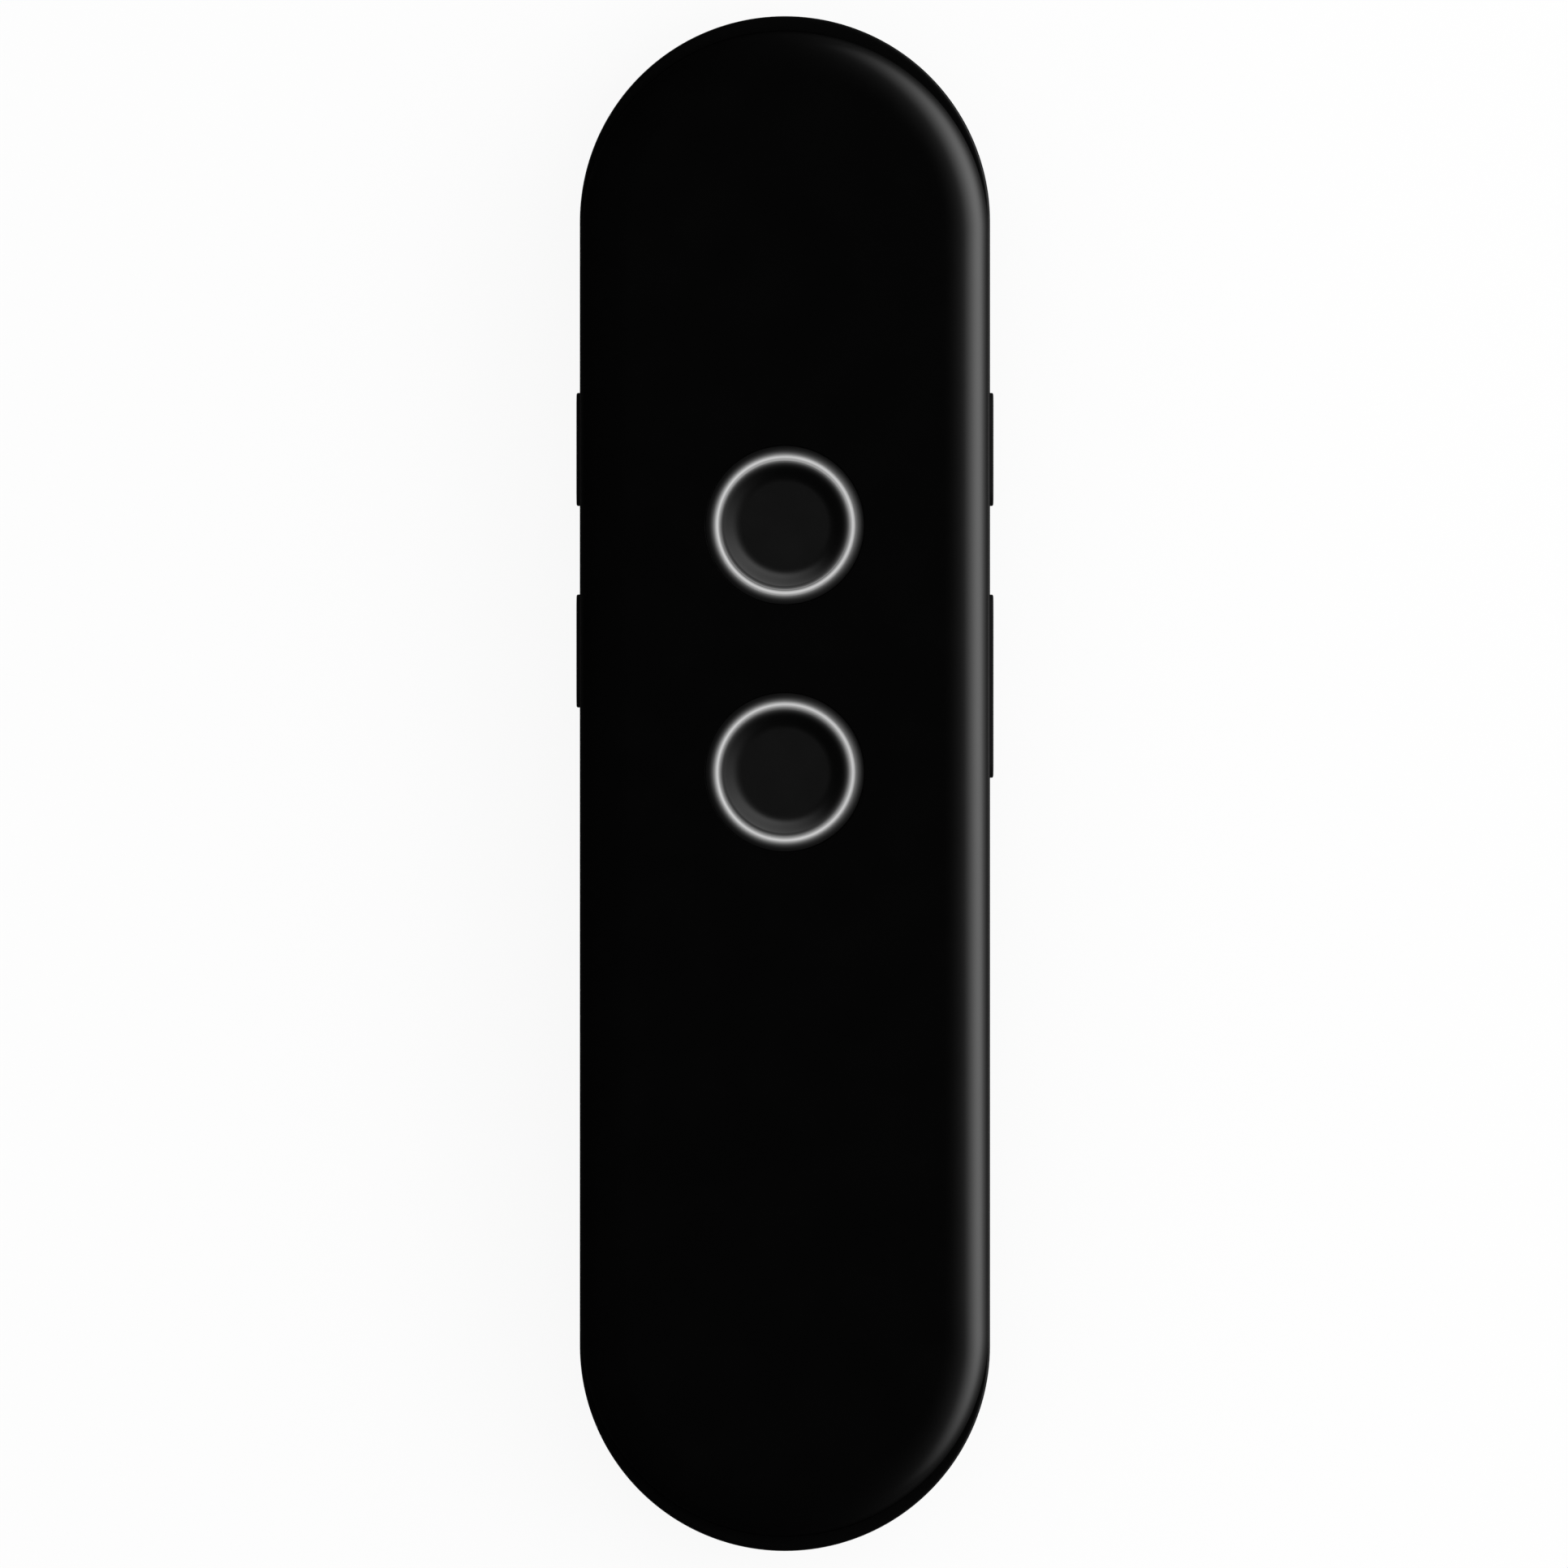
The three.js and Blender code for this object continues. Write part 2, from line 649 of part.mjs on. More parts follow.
// Four short ribs that keep the battery from sliding, two beyond each of its ends.
function batteryRibs() {
  const ribs = [-1, 1].flatMap((end) => {
    const flap = end > 0 ? batteryFlap : 0;
    const y = batteryY + end * (batteryLength / 2 + fitGap + batteryRibWidth / 2) + flap;
    return [-1, 1].map((side) => {
      const x = side * (batteryWidth / 2 - batteryRibLength / 2);
      const rib = roundedRect(batteryRibLength, batteryRibWidth, batteryRibWidth / 3, x, y);
      return slab(rib, backPlate - overrun, backPlate + batteryRibHeight);
    });
  });
  return union(...ribs);
}

// A screw post on the back cover's floor, with its pilot hole.
function post(x, y, top) {
  const pilotFloor = backPlate + overrun;
  const hole = cylinder(screwShankRadius + screwPilotGap, pilotFloor, top + overrun);
  return at(cylinder(postRadius, backPlate - overrun, top).subtract(hole), x, y);
}

// A pan-head screw with a cross recess, head down to its seat at level zero.
function screw() {
  const tip = -screwShankLength;
  const body = turned(
    [
      [0, tip],
      [screwShankRadius / 3, tip],
      [screwShankRadius, tip + screwTip],
      [screwShankRadius, 0],
      [screwHeadRadius, 0],
      [screwHeadRadius, screwHeadHeight / 2],
      [screwHeadRadius * screwCrownShare, screwHeadHeight],
      [0, screwHeadHeight],
    ],
    smallSegments,
  );
  const [long, wide] = [screwSlotLength / 2, screwSlotWidth / 2];
  const [low, high] = [screwHeadHeight - screwSlotDepth, screwHeadHeight + overrun];
  const across = box([-long, -wide, low], [long, wide, high]);
  return body.subtract(across.add(box([-wide, -long, low], [wide, long, high])));
}

// The dished cap of a talk key, with its retaining flange and the post that works its switch.
function talkKeyCap() {
  const face = bodyThickness;
  const rim = face + talkKeyRimHeight;
  const slope = talkKeyRadius - talkKeyRimRound - dishRadius;
  const fall = talkKeyRimHeight + dishDepth;
  const dish = dishShares.map(([out, up]) => [dishRadius + slope * out, face - dishDepth + fall * up]);
  const flangeBottom = talkFlangeTop - talkKeyFlangeHeight;
  const underside = face - dishDepth - talkKeyCrown;
  const hollow = talkKeyRadius - talkKeySkirt;
  return turned([
    [0, talkPlungerTop],
    [talkKeyPostRadius, talkPlungerTop],
    [talkKeyPostRadius, underside],
    [hollow, underside],
    [hollow, flangeBottom],
    [talkKeyRadius + talkKeyFlangeReach, flangeBottom],
    [talkKeyRadius + talkKeyFlangeReach, talkFlangeTop],
    [talkKeyRadius, talkFlangeTop],
    [talkKeyRadius, rim - talkKeyRimRound],
    ...dish.reverse(),
    [0, face - dishDepth],
  ]);
}

// The light guide round a talk key: a wide foot over the lamps and a thin ring that shows at the front.
function lightRing() {
  const crest = bodyThickness + lightRingProud;
  const round = lightRingWall / 4;
  return turned([
    [lightRingInner, lightFlangeLevel],
    [lightRingInner + lightRingFlangeReach + lightRingWall, lightFlangeLevel],
    [lightRingInner + lightRingFlangeReach + lightRingWall, bezelFlangeLevel],
    [lightRingOuter, bezelFlangeLevel],
    [lightRingOuter, crest - round],
    [lightRingOuter - round, crest],
    [lightRingInner + round, crest],
    [lightRingInner, crest - round],
  ]);
}

// The black bezel that slopes from the ring's crest down to the front cover.
function bezel() {
  const foot = bodyThickness - ringGap;
  const crest = bodyThickness + bezelProud;
  return turned([
    [bezelInner, bezelFlangeLevel],
    [bezelOuter + bezelFlangeReach, bezelFlangeLevel],
    [bezelOuter + bezelFlangeReach, ceiling],
    [bezelOuter, ceiling],
    [bezelOuter, foot],
    ...bezelShares.map(([inward, up]) => [bezelOuter - bezelWall * inward, foot + (crest - foot) * up]),
  ]);
}

// The switch under a talk key: a moulded base and the plunger that travels with the key.
function talkSwitch() {
  const [low, high] = [boardTopLevel, boardTopLevel + talkSwitchHeight];
  const base = slab(roundedRect(talkSwitchWidth, talkSwitchWidth, talkSwitchCorner), low, high);
  return base.subtract(cylinder(plungerRadius + plungerGap, low + plungerFloor, high + overrun));
}

function talkPlunger() {
  const bottom = talkPlungerTop - plungerProud - plungerDepth;
  return cylinder(plungerRadius, bottom, talkPlungerTop);
}

function talkKeyAssembly({ name, y }) {
  const group = new THREE.Group();
  group.position.set(0, y, 0);
  group.add(
    node(`${name}_talk_key`, talkKeyCap(), "key_black"),
    node(`${name}_light_ring`, lightRing(), "lit_ring"),
    node(`${name}_bezel`, bezel(), "gloss_black"),
    node(`${name}_talk_switch`, talkSwitch(), "switch_cream"),
    node(`${name}_talk_plunger`, talkPlunger(), "rubber_black"),
  );
  const x = lightRingOuter + lightRingFlangeReach / 2;
  for (const [label, side] of [["left", -1], ["right", 1]]) {
    const low = [side * x - ledWidth / 2, -ledLength / 2, boardTopLevel];
    const lamp = box(low, [side * x + ledWidth / 2, ledLength / 2, boardTopLevel + ledHeight]);
    group.add(node(`${name}_ring_lamp_${label}`, lamp, "tape_white"));
  }
  return group;
}

// The nib on a side key's inner face that presses the switch at y.
function nib(y) {
  const half = sideKeyNib / 2;
  const low = [sidePlungerTip, y - half, sidePlungerLevel - half];
  return box(low, [sideKeyInnerFace + sideKeyTabDepth / 2, y + half, sidePlungerLevel + half]);
}

// A push key on the side: a rounded bar through the frame's slot, with end tabs behind the wall.
function sideKey({ name, side, y }) {
  const face = endRadius + sideKeyProud;
  const cap = sideBar(sideKeyLength, sideKeyHeight, y, sideKeyInnerFace, face, sideKeyEdgeRound);
  const tabLength = sideKeyLength + 2 * sideKeyTab;
  const tabs = sideBar(tabLength, sideKeyHeight, y, sideKeyInnerFace, sideKeyInnerFace + sideKeyTabDepth);
  const key = union(cap, tabs, nib(y));
  return node(`${name}_key`, side > 0 ? key : key.mirror([1, 0, 0]), "satin_black");
}

// The volume rocker: one long bar with a hub on a pin at its middle and a nib towards each end.
function volumeRocker() {
  const face = endRadius + sideKeyProud;
  const bar = sideBar(rockerLength, sideKeyHeight, rockerY, sideKeyInnerFace, face, sideKeyEdgeRound);
  const [low, high] = [sideKeyLevel - sideKeyHeight / 2, sideKeyLevel + sideKeyHeight / 2];
  const hub = at(cylinder(rockerHubRadius, low, high), rockerPinX, rockerY);
  const boreRadius = rockerPinRadius + rockerPinRunning;
  const bore = at(cylinder(boreRadius, low - overrun, high + overrun), rockerPinX, rockerY);
  const nibs = [1, -1].map((end) => nib(rockerY + end * rockerSwitchReach));
  return node("volume_rocker", union(bar, hub, ...nibs).subtract(bore), "satin_black");
}

function rockerPin() {
  const half = sideKeyHeight / 2 + sideKeyRunning + rockerEarHeight;
  const pin = at(cylinder(rockerPinRadius, sideKeyLevel - half, sideKeyLevel + half), rockerPinX, rockerY);
  return node("rocker_pin", pin, "plated_steel");
}

// A side switch at the board's edge: its housing and the plunger that a key pushes in.
function sideSwitch({ name, side, y }) {
  const [wide, tall] = [sidePlungerLength / 2, sidePlungerHeight / 2];
  const half = sideSwitchLength / 2;
  const low = [sideSwitchFace - sideSwitchDepth, y - half, boardTopLevel];
  const housing = sideBox(side, low, [sideSwitchFace, y + half, boardTopLevel + sideSwitchHeight]);
  const bottom = sideSwitchFace - sidePlungerDepth - sideKeyTravel - plungerGap;
  const roomLow = [bottom, y - wide - plungerGap, sidePlungerLevel - tall - plungerGap];
  const roomHigh = [sideSwitchFace + overrun, y + wide + plungerGap, sidePlungerLevel + tall + plungerGap];
  const plungerLow = [sideSwitchFace - sidePlungerDepth, y - wide, sidePlungerLevel - tall];
  const plunger = sideBox(side, plungerLow, [sidePlungerTip, y + wide, sidePlungerLevel + tall]);
  return [
    node(`${name}_switch`, housing.subtract(sideBox(side, roomLow, roomHigh)), "switch_cream"),
    node(`${name}_plunger`, plunger, "rubber_black"),
  ];
}

// The main board: a long plate with a tongue at each end, screw holes, and notches for port and rocker.
function mainBoard() {
  const [low, high] = [boardLevel, boardTopLevel];
  const middle = (boardTop + boardBottom) / 2;
  const plate = roundedRect(2 * boardHalfWidth, boardTop - boardBottom, boardCorner, 0, middle);
  const tongue = (width, root, end) => {
    const start = root - Math.sign(end) * boardCorner;
    return roundedRect(width, Math.abs(end - start), tongueCorner, 0, (start + end) / 2);
  };
  const topTongue = tongue(topTongueWidth, boardTop, topTongueEnd);
  const bottomTongue = tongue(bottomTongueWidth, boardBottom, bottomTongueEnd);
  let board = union(slab(plate, low, high), slab(topTongue, low, high), slab(bottomTongue, low, high));
  const hole = cylinder(screwShankRadius + screwHoleGap, low - overrun, high + overrun);
  for (const [x, y] of boardScrews) board = board.subtract(at(hole, x, y));
  const notch = portWidth / 2 + portCutGap;
  board = board.subtract(
    box([-notch, bottomTongueEnd - overrun, low - overrun], [notch, portBackY + portCutGap, high + overrun]),
  );
  const earHalf = rockerEarWidth / 2 + rockerNotchGap;
  const earLow = [rockerPinX - rockerHubRadius - rockerNotchGap, rockerY - earHalf, low - overrun];
  board = board.subtract(box(earLow, [boardHalfWidth + overrun, rockerY + earHalf, high + overrun]));
  return node("main_board", board, "board_green");
}

// The pouch cell with its folded flap, on its strip of tape.
function battery() {
  const shape = roundedRect(batteryWidth, batteryLength, batteryCorner, 0, batteryY);
  const round = batteryEdgeRound;
  const depth = batteryThickness - 2 * round;
  const bevel = { bevelThickness: round, bevelSize: round, bevelOffset: -round, bevelSegments: 2 };
  const settings = { depth, curveSegments: cornerSegments, ...bevel };
  const pouch = solid(new THREE.ExtrudeGeometry(shape, settings).translate(0, 0, batteryBase + round));
  const middle = batteryBase + batteryThickness / 2;
  const half = batteryWidth / 2 - batteryFlapInset;
  const low = [-half, batteryEnd - batteryEdgeRound - overrun, middle - batteryFlapHeight / 2];
  const flap = box(low, [half, batteryEnd + batteryFlap, middle + batteryFlapHeight / 2]);
  return node("battery", union(pouch, flap), "foil_silver");
}

function batteryTape() {
  const [width, length] = [batteryWidth - 2 * tapeInset, batteryLength - 2 * tapeInset];
  const shape = roundedRect(width, length, tapeInset / 2, 0, batteryY);
  return node("battery_tape", slab(shape, backPlate, batteryBase), "tape_white");
}

// A wire along a smooth curve through the points.
function wire(name, points, slot) {
  const path = new THREE.CatmullRomCurve3(points.map((point) => new THREE.Vector3(...point)));
  const section = new THREE.Shape();
  section.absarc(0, 0, leadRadius, 0, 2 * Math.PI);
  const steps = 2 * points.length;
  const settings = { steps, bevelEnabled: false, extrudePath: path, curveSegments: wireSegments };
  return node(name, solid(new THREE.ExtrudeGeometry(section, settings)), slot);
}

// The battery's socket, hung from the board's underside, with a pocket for the plug.
function batterySocket() {
  const [half, low] = [socketWidth / 2, boardLevel - socketHeight];
  const body = box([-half, socketStart, low], [half, socketStart + socketLength, boardLevel]);
  const pocketLow = [-half + socketWall, socketStart - overrun, low + socketWall];
  const pocketEnd = socketStart + socketLength - socketWall;
  const pocket = box(pocketLow, [half - socketWall, pocketEnd, boardLevel - socketWall]);
  return node("battery_socket", body.subtract(pocket), "tape_white");
}

function batteryPlug() {
  const half = socketWidth / 2 - socketWall - plugGap;
  const [low, high] = [boardLevel - socketHeight + socketWall, boardLevel - socketWall - plugGap];
  const end = socketStart + socketLength - socketWall - plugGap;
  return node("battery_plug", box([-half, socketStart - plugProud, low], [half, end, high]), "chip_black");
}

function batteryLeads() {
  const start = batteryEnd + batteryFlap;
  const end = socketStart - plugProud;
  const [from, to] = [batteryBase + batteryThickness / 2, boardLevel - socketHeight / 2];
  return [["red", 1], ["black", -1]].map(([colour, side]) => {
    const x = (side * leadSpacing) / 2;
    const points = leadShares.map(([along, up, bow]) => [
      x + side * leadBow * bow,
      start + (end - start) * along,
      from + (to - from) * up,
    ]);
    return wire(`battery_lead_${colour}`, points, `wire_${colour}`);
  });
}

// The speaker: a rounded driver with a dished cone facing the grille and a magnet on its back.
function speaker() {
  const top = gasketTop + speakerDepth;
  const frame = slab(roundedRect(speakerWidth, speakerHeight, speakerCorner, 0, speakerY), gasketTop, top);
  const [coneX, coneY] = [speakerWidth - 2 * speakerConeMargin, speakerHeight - 2 * speakerConeMargin];
  const cone = roundedRect(coneX, coneY, coneY / 3, 0, speakerY);
  const recess = slab(cone, gasketTop - overrun, gasketTop + speakerConeDepth);
  const [inner, outer] = [speakerMagnetRadius, speakerMagnetRadius + speakerMagnetGroove];
  const [low, high] = [top - speakerMagnetRecess, top + overrun];
  const groove = turned([[inner, low], [outer, low], [outer, high], [inner, high]], 2 * smallSegments);
  return node("speaker", frame.subtract(recess).subtract(at(groove, 0, speakerY)), "dark_steel");
}

function speakerGasket() {
  const outside = roundedRect(speakerWidth, speakerHeight, speakerCorner, 0, speakerY);
  const [x, y] = [speakerWidth - 2 * gasketWall, speakerHeight - 2 * gasketWall];
  const inside = roundedRect(x, y, speakerCorner - gasketWall, 0, speakerY);
  const opening = slab(inside, meshTop - overrun, gasketTop + overrun);
  return node("speaker_gasket", slab(outside, meshTop, gasketTop).subtract(opening), "foam_black");
}

function speakerMesh() {
  const reach = 2 * (grilleFlange - meshInset);
  const [length, width] = [grilleLength + reach, grilleWidth + reach];
  const shape = roundedRect(length, width, width / 2, 0, speakerY);
  return node("speaker_mesh", slab(shape, grilleTop, meshTop, roundSegments), "foam_black");
}

// The grille: a round-ended plate in the back cover's opening, drilled in three staggered rows.
function speakerGrille() {
  const [length, width] = [grilleLength - 2 * grilleGap, grilleWidth - 2 * grilleGap];
  const face = roundedRect(length, width, width / 2, 0, speakerY);
  const [wideLength, wideWidth] = [grilleLength + 2 * grilleFlange, grilleWidth + 2 * grilleFlange];
  const flange = roundedRect(wideLength, wideWidth, wideWidth / 2, 0, speakerY);
  let grille = slab(face, grilleRecess, backPlate + grilleFlangeThickness / 2, roundSegments);
  grille = grille.add(slab(flange, backPlate, grilleTop, roundSegments));
  const hole = cylinder(grilleHoleRadius, grilleRecess - overrun, grilleTop + overrun, smallSegments - 2);
  const rowPitch = (grillePitch * Math.sqrt(3)) / 2;
  grilleRowCounts.forEach((count, row) => {
    const y = speakerY + (row - (grilleRowCounts.length - 1) / 2) * rowPitch;
    for (let i = 0; i < count; i++) {
      grille = grille.subtract(at(hole, (i - (count - 1) / 2) * grillePitch, y));
    }
  });
  return node("speaker_grille", grille, "dark_steel");
}

function speakerLeads() {
  const [from, to] = [speakerWidth / 2, boardHalfWidth - 2 * leadRadius];
  const low = backPlate + speakerPocketHeight + leadRadius + leadSeat;
  const high = boardLevel - leadRadius - leadSeat;
  return [["red", 1], ["black", -1]].map(([colour, side]) => {
    const y = speakerY + side * leadSpacing;
    const place = ([out, up]) => [from + (to - from) * out, y, low + (high - low) * up];
    const points = speakerLeadShares.map(place);
    return wire(`speaker_lead_${colour}`, points, `wire_${colour}`);
  });
}

// The charging port: a drawn shell with side wings on the board, and its moulded base and tongue.
function portShellShape(inset) {
  const [half, tall] = [portWidth / 2 - inset, portHeight / 2 - inset];
  const slant = portCorner;
  return new THREE.Shape([
    new THREE.Vector2(-half, tall),
    new THREE.Vector2(-half, -tall + slant),
    new THREE.Vector2(-half + slant, -tall),
    new THREE.Vector2(half - slant, -tall),
    new THREE.Vector2(half, -tall + slant),
    new THREE.Vector2(half, tall),
  ]);
}

function alongPort(shape, from, to) {
  const geometry = new THREE.ExtrudeGeometry(shape, { depth: to - from, bevelEnabled: false });
  return solid(alongMinusY(geometry).translate(0, to, sideKeyLevel));
}

function chargingPort() {
  const outside = alongPort(portShellShape(0), portFaceY, portBackY);
  const inside = alongPort(portShellShape(portShell), portFaceY - overrun, portBackY + overrun);
  const reach = portWidth / 2 + portWingReach;
  const wingY = portBackY - portWingLength;
  const wingLow = [-reach, wingY - portWingLength / 2, boardTopLevel];
  const wings = box(wingLow, [reach, wingY + portWingLength / 2, boardTopLevel + portWingHeight]);
  return node("port_shell", union(outside, wings).subtract(inside), "plated_steel");
}

function portCore() {
  const base = alongPort(portShellShape(portShell + fitGap / 2), portBackY - portBaseDepth, portBackY);
  const [half, tall] = [portTongueWidth / 2, portTongueHeight / 2];
  const front = portBackY - portBaseDepth - portTongueLength;
  const low = [-half, front, sideKeyLevel - tall];
  const tongue = box(low, [half, portBackY - portBaseDepth / 2, sideKeyLevel + tall]);
  return node("port_core", union(base, tongue), "chip_black");
}

function microphone() {
  const half = micWidth / 2;
  const low = [-half, micY - micLength / 2, boardTopLevel];
  return node("microphone", box(low, [half, micY + micLength / 2, boardTopLevel + micHeight]), "foil_silver");
}

// The rubber boot over the microphone, with a sound channel to the hole in the frame's end.
function microphoneBoot() {
  const half = micWidth / 2 + bootWall;
  const start = micY - micLength / 2 - bootWall;
  const end = coreHalf + Math.sqrt(frameInner ** 2 - half ** 2) - fitGap;
  const body = box([-half, start, boardTopLevel], [half, end, boardTopLevel + bootHeight]);
  const room = micWidth / 2 + fitGap;
  const roomLow = [-room, micY - micLength / 2 - fitGap, boardTopLevel - overrun];
  const pocket = box(roomLow, [room, micY + micLength / 2 + fitGap, boardTopLevel + micHeight + fitGap]);
  const channel = cylinder(micHoleRadius, 0, end - micY + overrun).rotate([-90, 0, 0]);
  const bored = body.subtract(pocket).subtract(at(channel, 0, micY, boardTopLevel + micHoleLevel));
  return node("microphone_boot", bored, "rubber_black");
}

function chip(name, width, length, height, x, y, slot) {
  const shape = roundedRect(width, length, chipCorner, x, y);
  return node(name, slab(shape, boardTopLevel, boardTopLevel + height, 1), slot);
}

// The drawn can over the radio, open underneath.
function shieldCan() {
  const [low, high] = [boardTopLevel, boardTopLevel + shieldHeight];
  const outside = slab(roundedRect(shieldWidth, shieldLength, 2 * shieldWall, 0, shieldY), low, high);
  const [x, y] = [shieldWidth - 2 * shieldWall, shieldLength - 2 * shieldWall];
  const inside = slab(roundedRect(x, y, shieldWall, 0, shieldY), low - overrun, high - shieldWall);
  return node("wireless_shield", outside.subtract(inside), "plated_steel");
}

function screws() {
  const shape = screw();
  const place = (label) => ([x, y], i) => {
    const made = node(`${label}_screw_${i + 1}`, shape, "plated_steel");
    made.position.set(x, y, boardTopLevel);
    return made;
  };
  return [...frameScrews.map(place("frame")), ...boardScrews.map(place("board"))];
}

function housing() {
  return new THREE.Group().add(frontCover(), midFrame(), backCover(), speakerGrille(), rockerPin());
}

function electronics() {
  return new THREE.Group().add(
    mainBoard(),
    battery(),
    batteryTape(),
    batterySocket(),
    batteryPlug(),
    ...batteryLeads(),
    speaker(),
    speakerGasket(),
    speakerMesh(),
    ...speakerLeads(),
    chargingPort(),
    portCore(),
    microphone(),
    microphoneBoot(),
    chip("processor_chip", processorSize, processorSize, processorHeight, 0, processorY, "chip_black"),
    chip("antenna", antennaLength, antennaWidth, antennaHeight, antennaX, antennaY, "switch_cream"),
    shieldCan(),
    ...sideSwitches.flatMap(sideSwitch),
    ...screws(),
  );
}

const translator = new THREE.Group();
translator.name = "handheld_translator";
translator.add(housing(), electronics(), ...talkKeys.map(talkKeyAssembly));
translator.add(...sideKeys.map(sideKey), volumeRocker());

export default translator;
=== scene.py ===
"""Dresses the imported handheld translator: housing, talk keys, side keys, speaker, port and insides.

Shapes are worked out in millimetres and become metres when they are made into pieces. The origin
is the centre of the flat back, with +X to the right, +Y to the top end and +Z out of the front.
"""

import json
import logging
import math
from dataclasses import dataclass
from enum import Enum
from typing import Any, Sequence

import bmesh
import bpy
import numpy as np
from mathutils import Matrix, Vector


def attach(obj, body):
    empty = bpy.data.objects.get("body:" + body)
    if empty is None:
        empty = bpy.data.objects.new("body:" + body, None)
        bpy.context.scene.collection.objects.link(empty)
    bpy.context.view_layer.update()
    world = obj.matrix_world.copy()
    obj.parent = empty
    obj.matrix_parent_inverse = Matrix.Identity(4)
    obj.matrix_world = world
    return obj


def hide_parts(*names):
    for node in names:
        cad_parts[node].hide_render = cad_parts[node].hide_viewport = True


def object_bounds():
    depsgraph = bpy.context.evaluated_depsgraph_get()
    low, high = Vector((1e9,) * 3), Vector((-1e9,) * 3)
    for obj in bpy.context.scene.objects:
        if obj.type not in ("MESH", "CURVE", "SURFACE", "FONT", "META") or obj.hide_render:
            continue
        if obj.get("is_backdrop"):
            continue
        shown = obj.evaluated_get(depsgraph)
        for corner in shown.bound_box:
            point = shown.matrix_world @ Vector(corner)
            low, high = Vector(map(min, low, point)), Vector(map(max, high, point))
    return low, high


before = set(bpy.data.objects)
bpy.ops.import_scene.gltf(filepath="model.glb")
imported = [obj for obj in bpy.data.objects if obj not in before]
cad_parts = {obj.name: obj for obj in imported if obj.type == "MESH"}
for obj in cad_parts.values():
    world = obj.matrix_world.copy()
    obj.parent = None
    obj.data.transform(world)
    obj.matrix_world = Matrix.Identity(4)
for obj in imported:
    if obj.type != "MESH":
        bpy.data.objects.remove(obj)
CAD_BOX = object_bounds()

LOG = logging.getLogger("translator")
MM = 0.001
IMAGE_SIZE = 1932
SHARP_ANGLE = math.radians(32)
# Points closer than the first, in mm, are one point, and an edge under the second is none
MERGE, SLIVER = 2e-5, 1e-5
# The width of one wave of Blender's wave texture at a scale of 1
WAVE_WIDTH = 0.314
# The least length that anything is divided by
TINY = 1e-4
Point = tuple[float, float]
Triple = tuple[float, float, float]
Colour = Triple
Inputs = dict[Any, Any]
Socket = bpy.types.NodeSocket


class Slot(Enum):
    """The record's material slots."""

    GLOSS = "gloss_black"
    SATIN = "satin_black"
    KEY = "key_black"
    RING = "lit_ring"
    BOARD = "board_green"
    PLATED = "plated_steel"
    DARK_STEEL = "dark_steel"
    CHIP = "chip_black"
    NYLON = "switch_cream"
    RUBBER = "rubber_black"
    FOIL = "foil_silver"
    FILM = "tape_white"
    FOAM = "foam_black"
    RED_WIRE = "wire_red"
    BLACK_WIRE = "wire_black"


class Side(Enum):
    """The side of the housing that a key sits on, with the sign of its X."""

    LEFT = -1
    RIGHT = 1


class Bool(Enum):
    """How one solid works on another."""

    JOIN = "UNION"
    CUT = "DIFFERENCE"


# Shapes


class Solid:
    """A closed shape in millimetres that can be placed, joined and cut."""

    def __init__(self, mesh: bpy.types.Mesh) -> None:
        """Takes a mesh, merges its doubled points and turns its faces outwards.

        Args:
            mesh: The mesh, in millimetres.
        """
        self.mesh = mesh
        work = bmesh.new()
        work.from_mesh(mesh)
        bmesh.ops.remove_doubles(work, verts=work.verts, dist=MERGE)
        bmesh.ops.dissolve_degenerate(work, edges=work.edges, dist=SLIVER)
        bmesh.ops.recalc_face_normals(work, faces=work.faces)
        work.to_mesh(mesh)
        work.free()

    def placed(self, matrix: Matrix) -> "Solid":
        """A copy of the solid, moved by a matrix.

        Args:
            matrix: The move.

        Returns:
            The new solid.
        """
        mesh = self.mesh.copy()
        mesh.transform(matrix)
        return Solid(mesh)

    def moved(self, x: float = 0.0, y: float = 0.0, z: float = 0.0) -> "Solid":
        """A copy of the solid, shifted."""
        return self.placed(Matrix.Translation((x, y, z)))

    def on(self, side: Side) -> "Solid":
        """The solid as it is on the right side, or mirrored on the left."""
        return self if side is Side.RIGHT else self.placed(Matrix.Scale(-1, 4, (1, 0, 0)))

    def in_metres(self) -> bpy.types.Mesh:
        """A copy of the solid's mesh, scaled to metres.

        Returns:
            The new mesh.
        """
        mesh = self.mesh.copy()
        mesh.transform(Matrix.Scale(MM, 4))
        return mesh

    def combined(self, joins: Sequence["Solid"] = (), cuts: Sequence["Solid"] = ()) -> "Solid":
        """Joins other solids to this one, and then cuts others from it.

        Args:
            joins: The solids to add.
            cuts: The solids to take away.

        Returns:
            The new solid.
        """
        host = linked("host", self.mesh)
        tools = []
        for kind, others in ((Bool.JOIN, joins), (Bool.CUT, cuts)):
            for other in others:
                tools.append(linked("tool", other.mesh))
                modifier = host.modifiers.new(kind.name, "BOOLEAN")
                modifier.operation, modifier.solver = kind.value, "EXACT"
                modifier.object = tools[-1]
        made = evaluated(host)
        for spare in (host, *tools):
            bpy.data.objects.remove(spare)
        return Solid(made)

    def join(self, *others: "Solid") -> "Solid":
        """This solid with the others added."""
        return self.combined(joins=others)

    def cut(self, *others: "Solid") -> "Solid":
        """This solid with the others taken away."""
        return self.combined(cuts=others)


def linked(name: str, data: bpy.types.ID) -> bpy.types.Object:
    """Makes an object of a mesh, a lamp or a camera and puts it in the scene.

    Args:
        name: The object's name.
        data: What it shows.

    Returns:
        The object.
    """
    made = bpy.data.objects.new(name, data)
    bpy.context.scene.collection.objects.link(made)
    return made


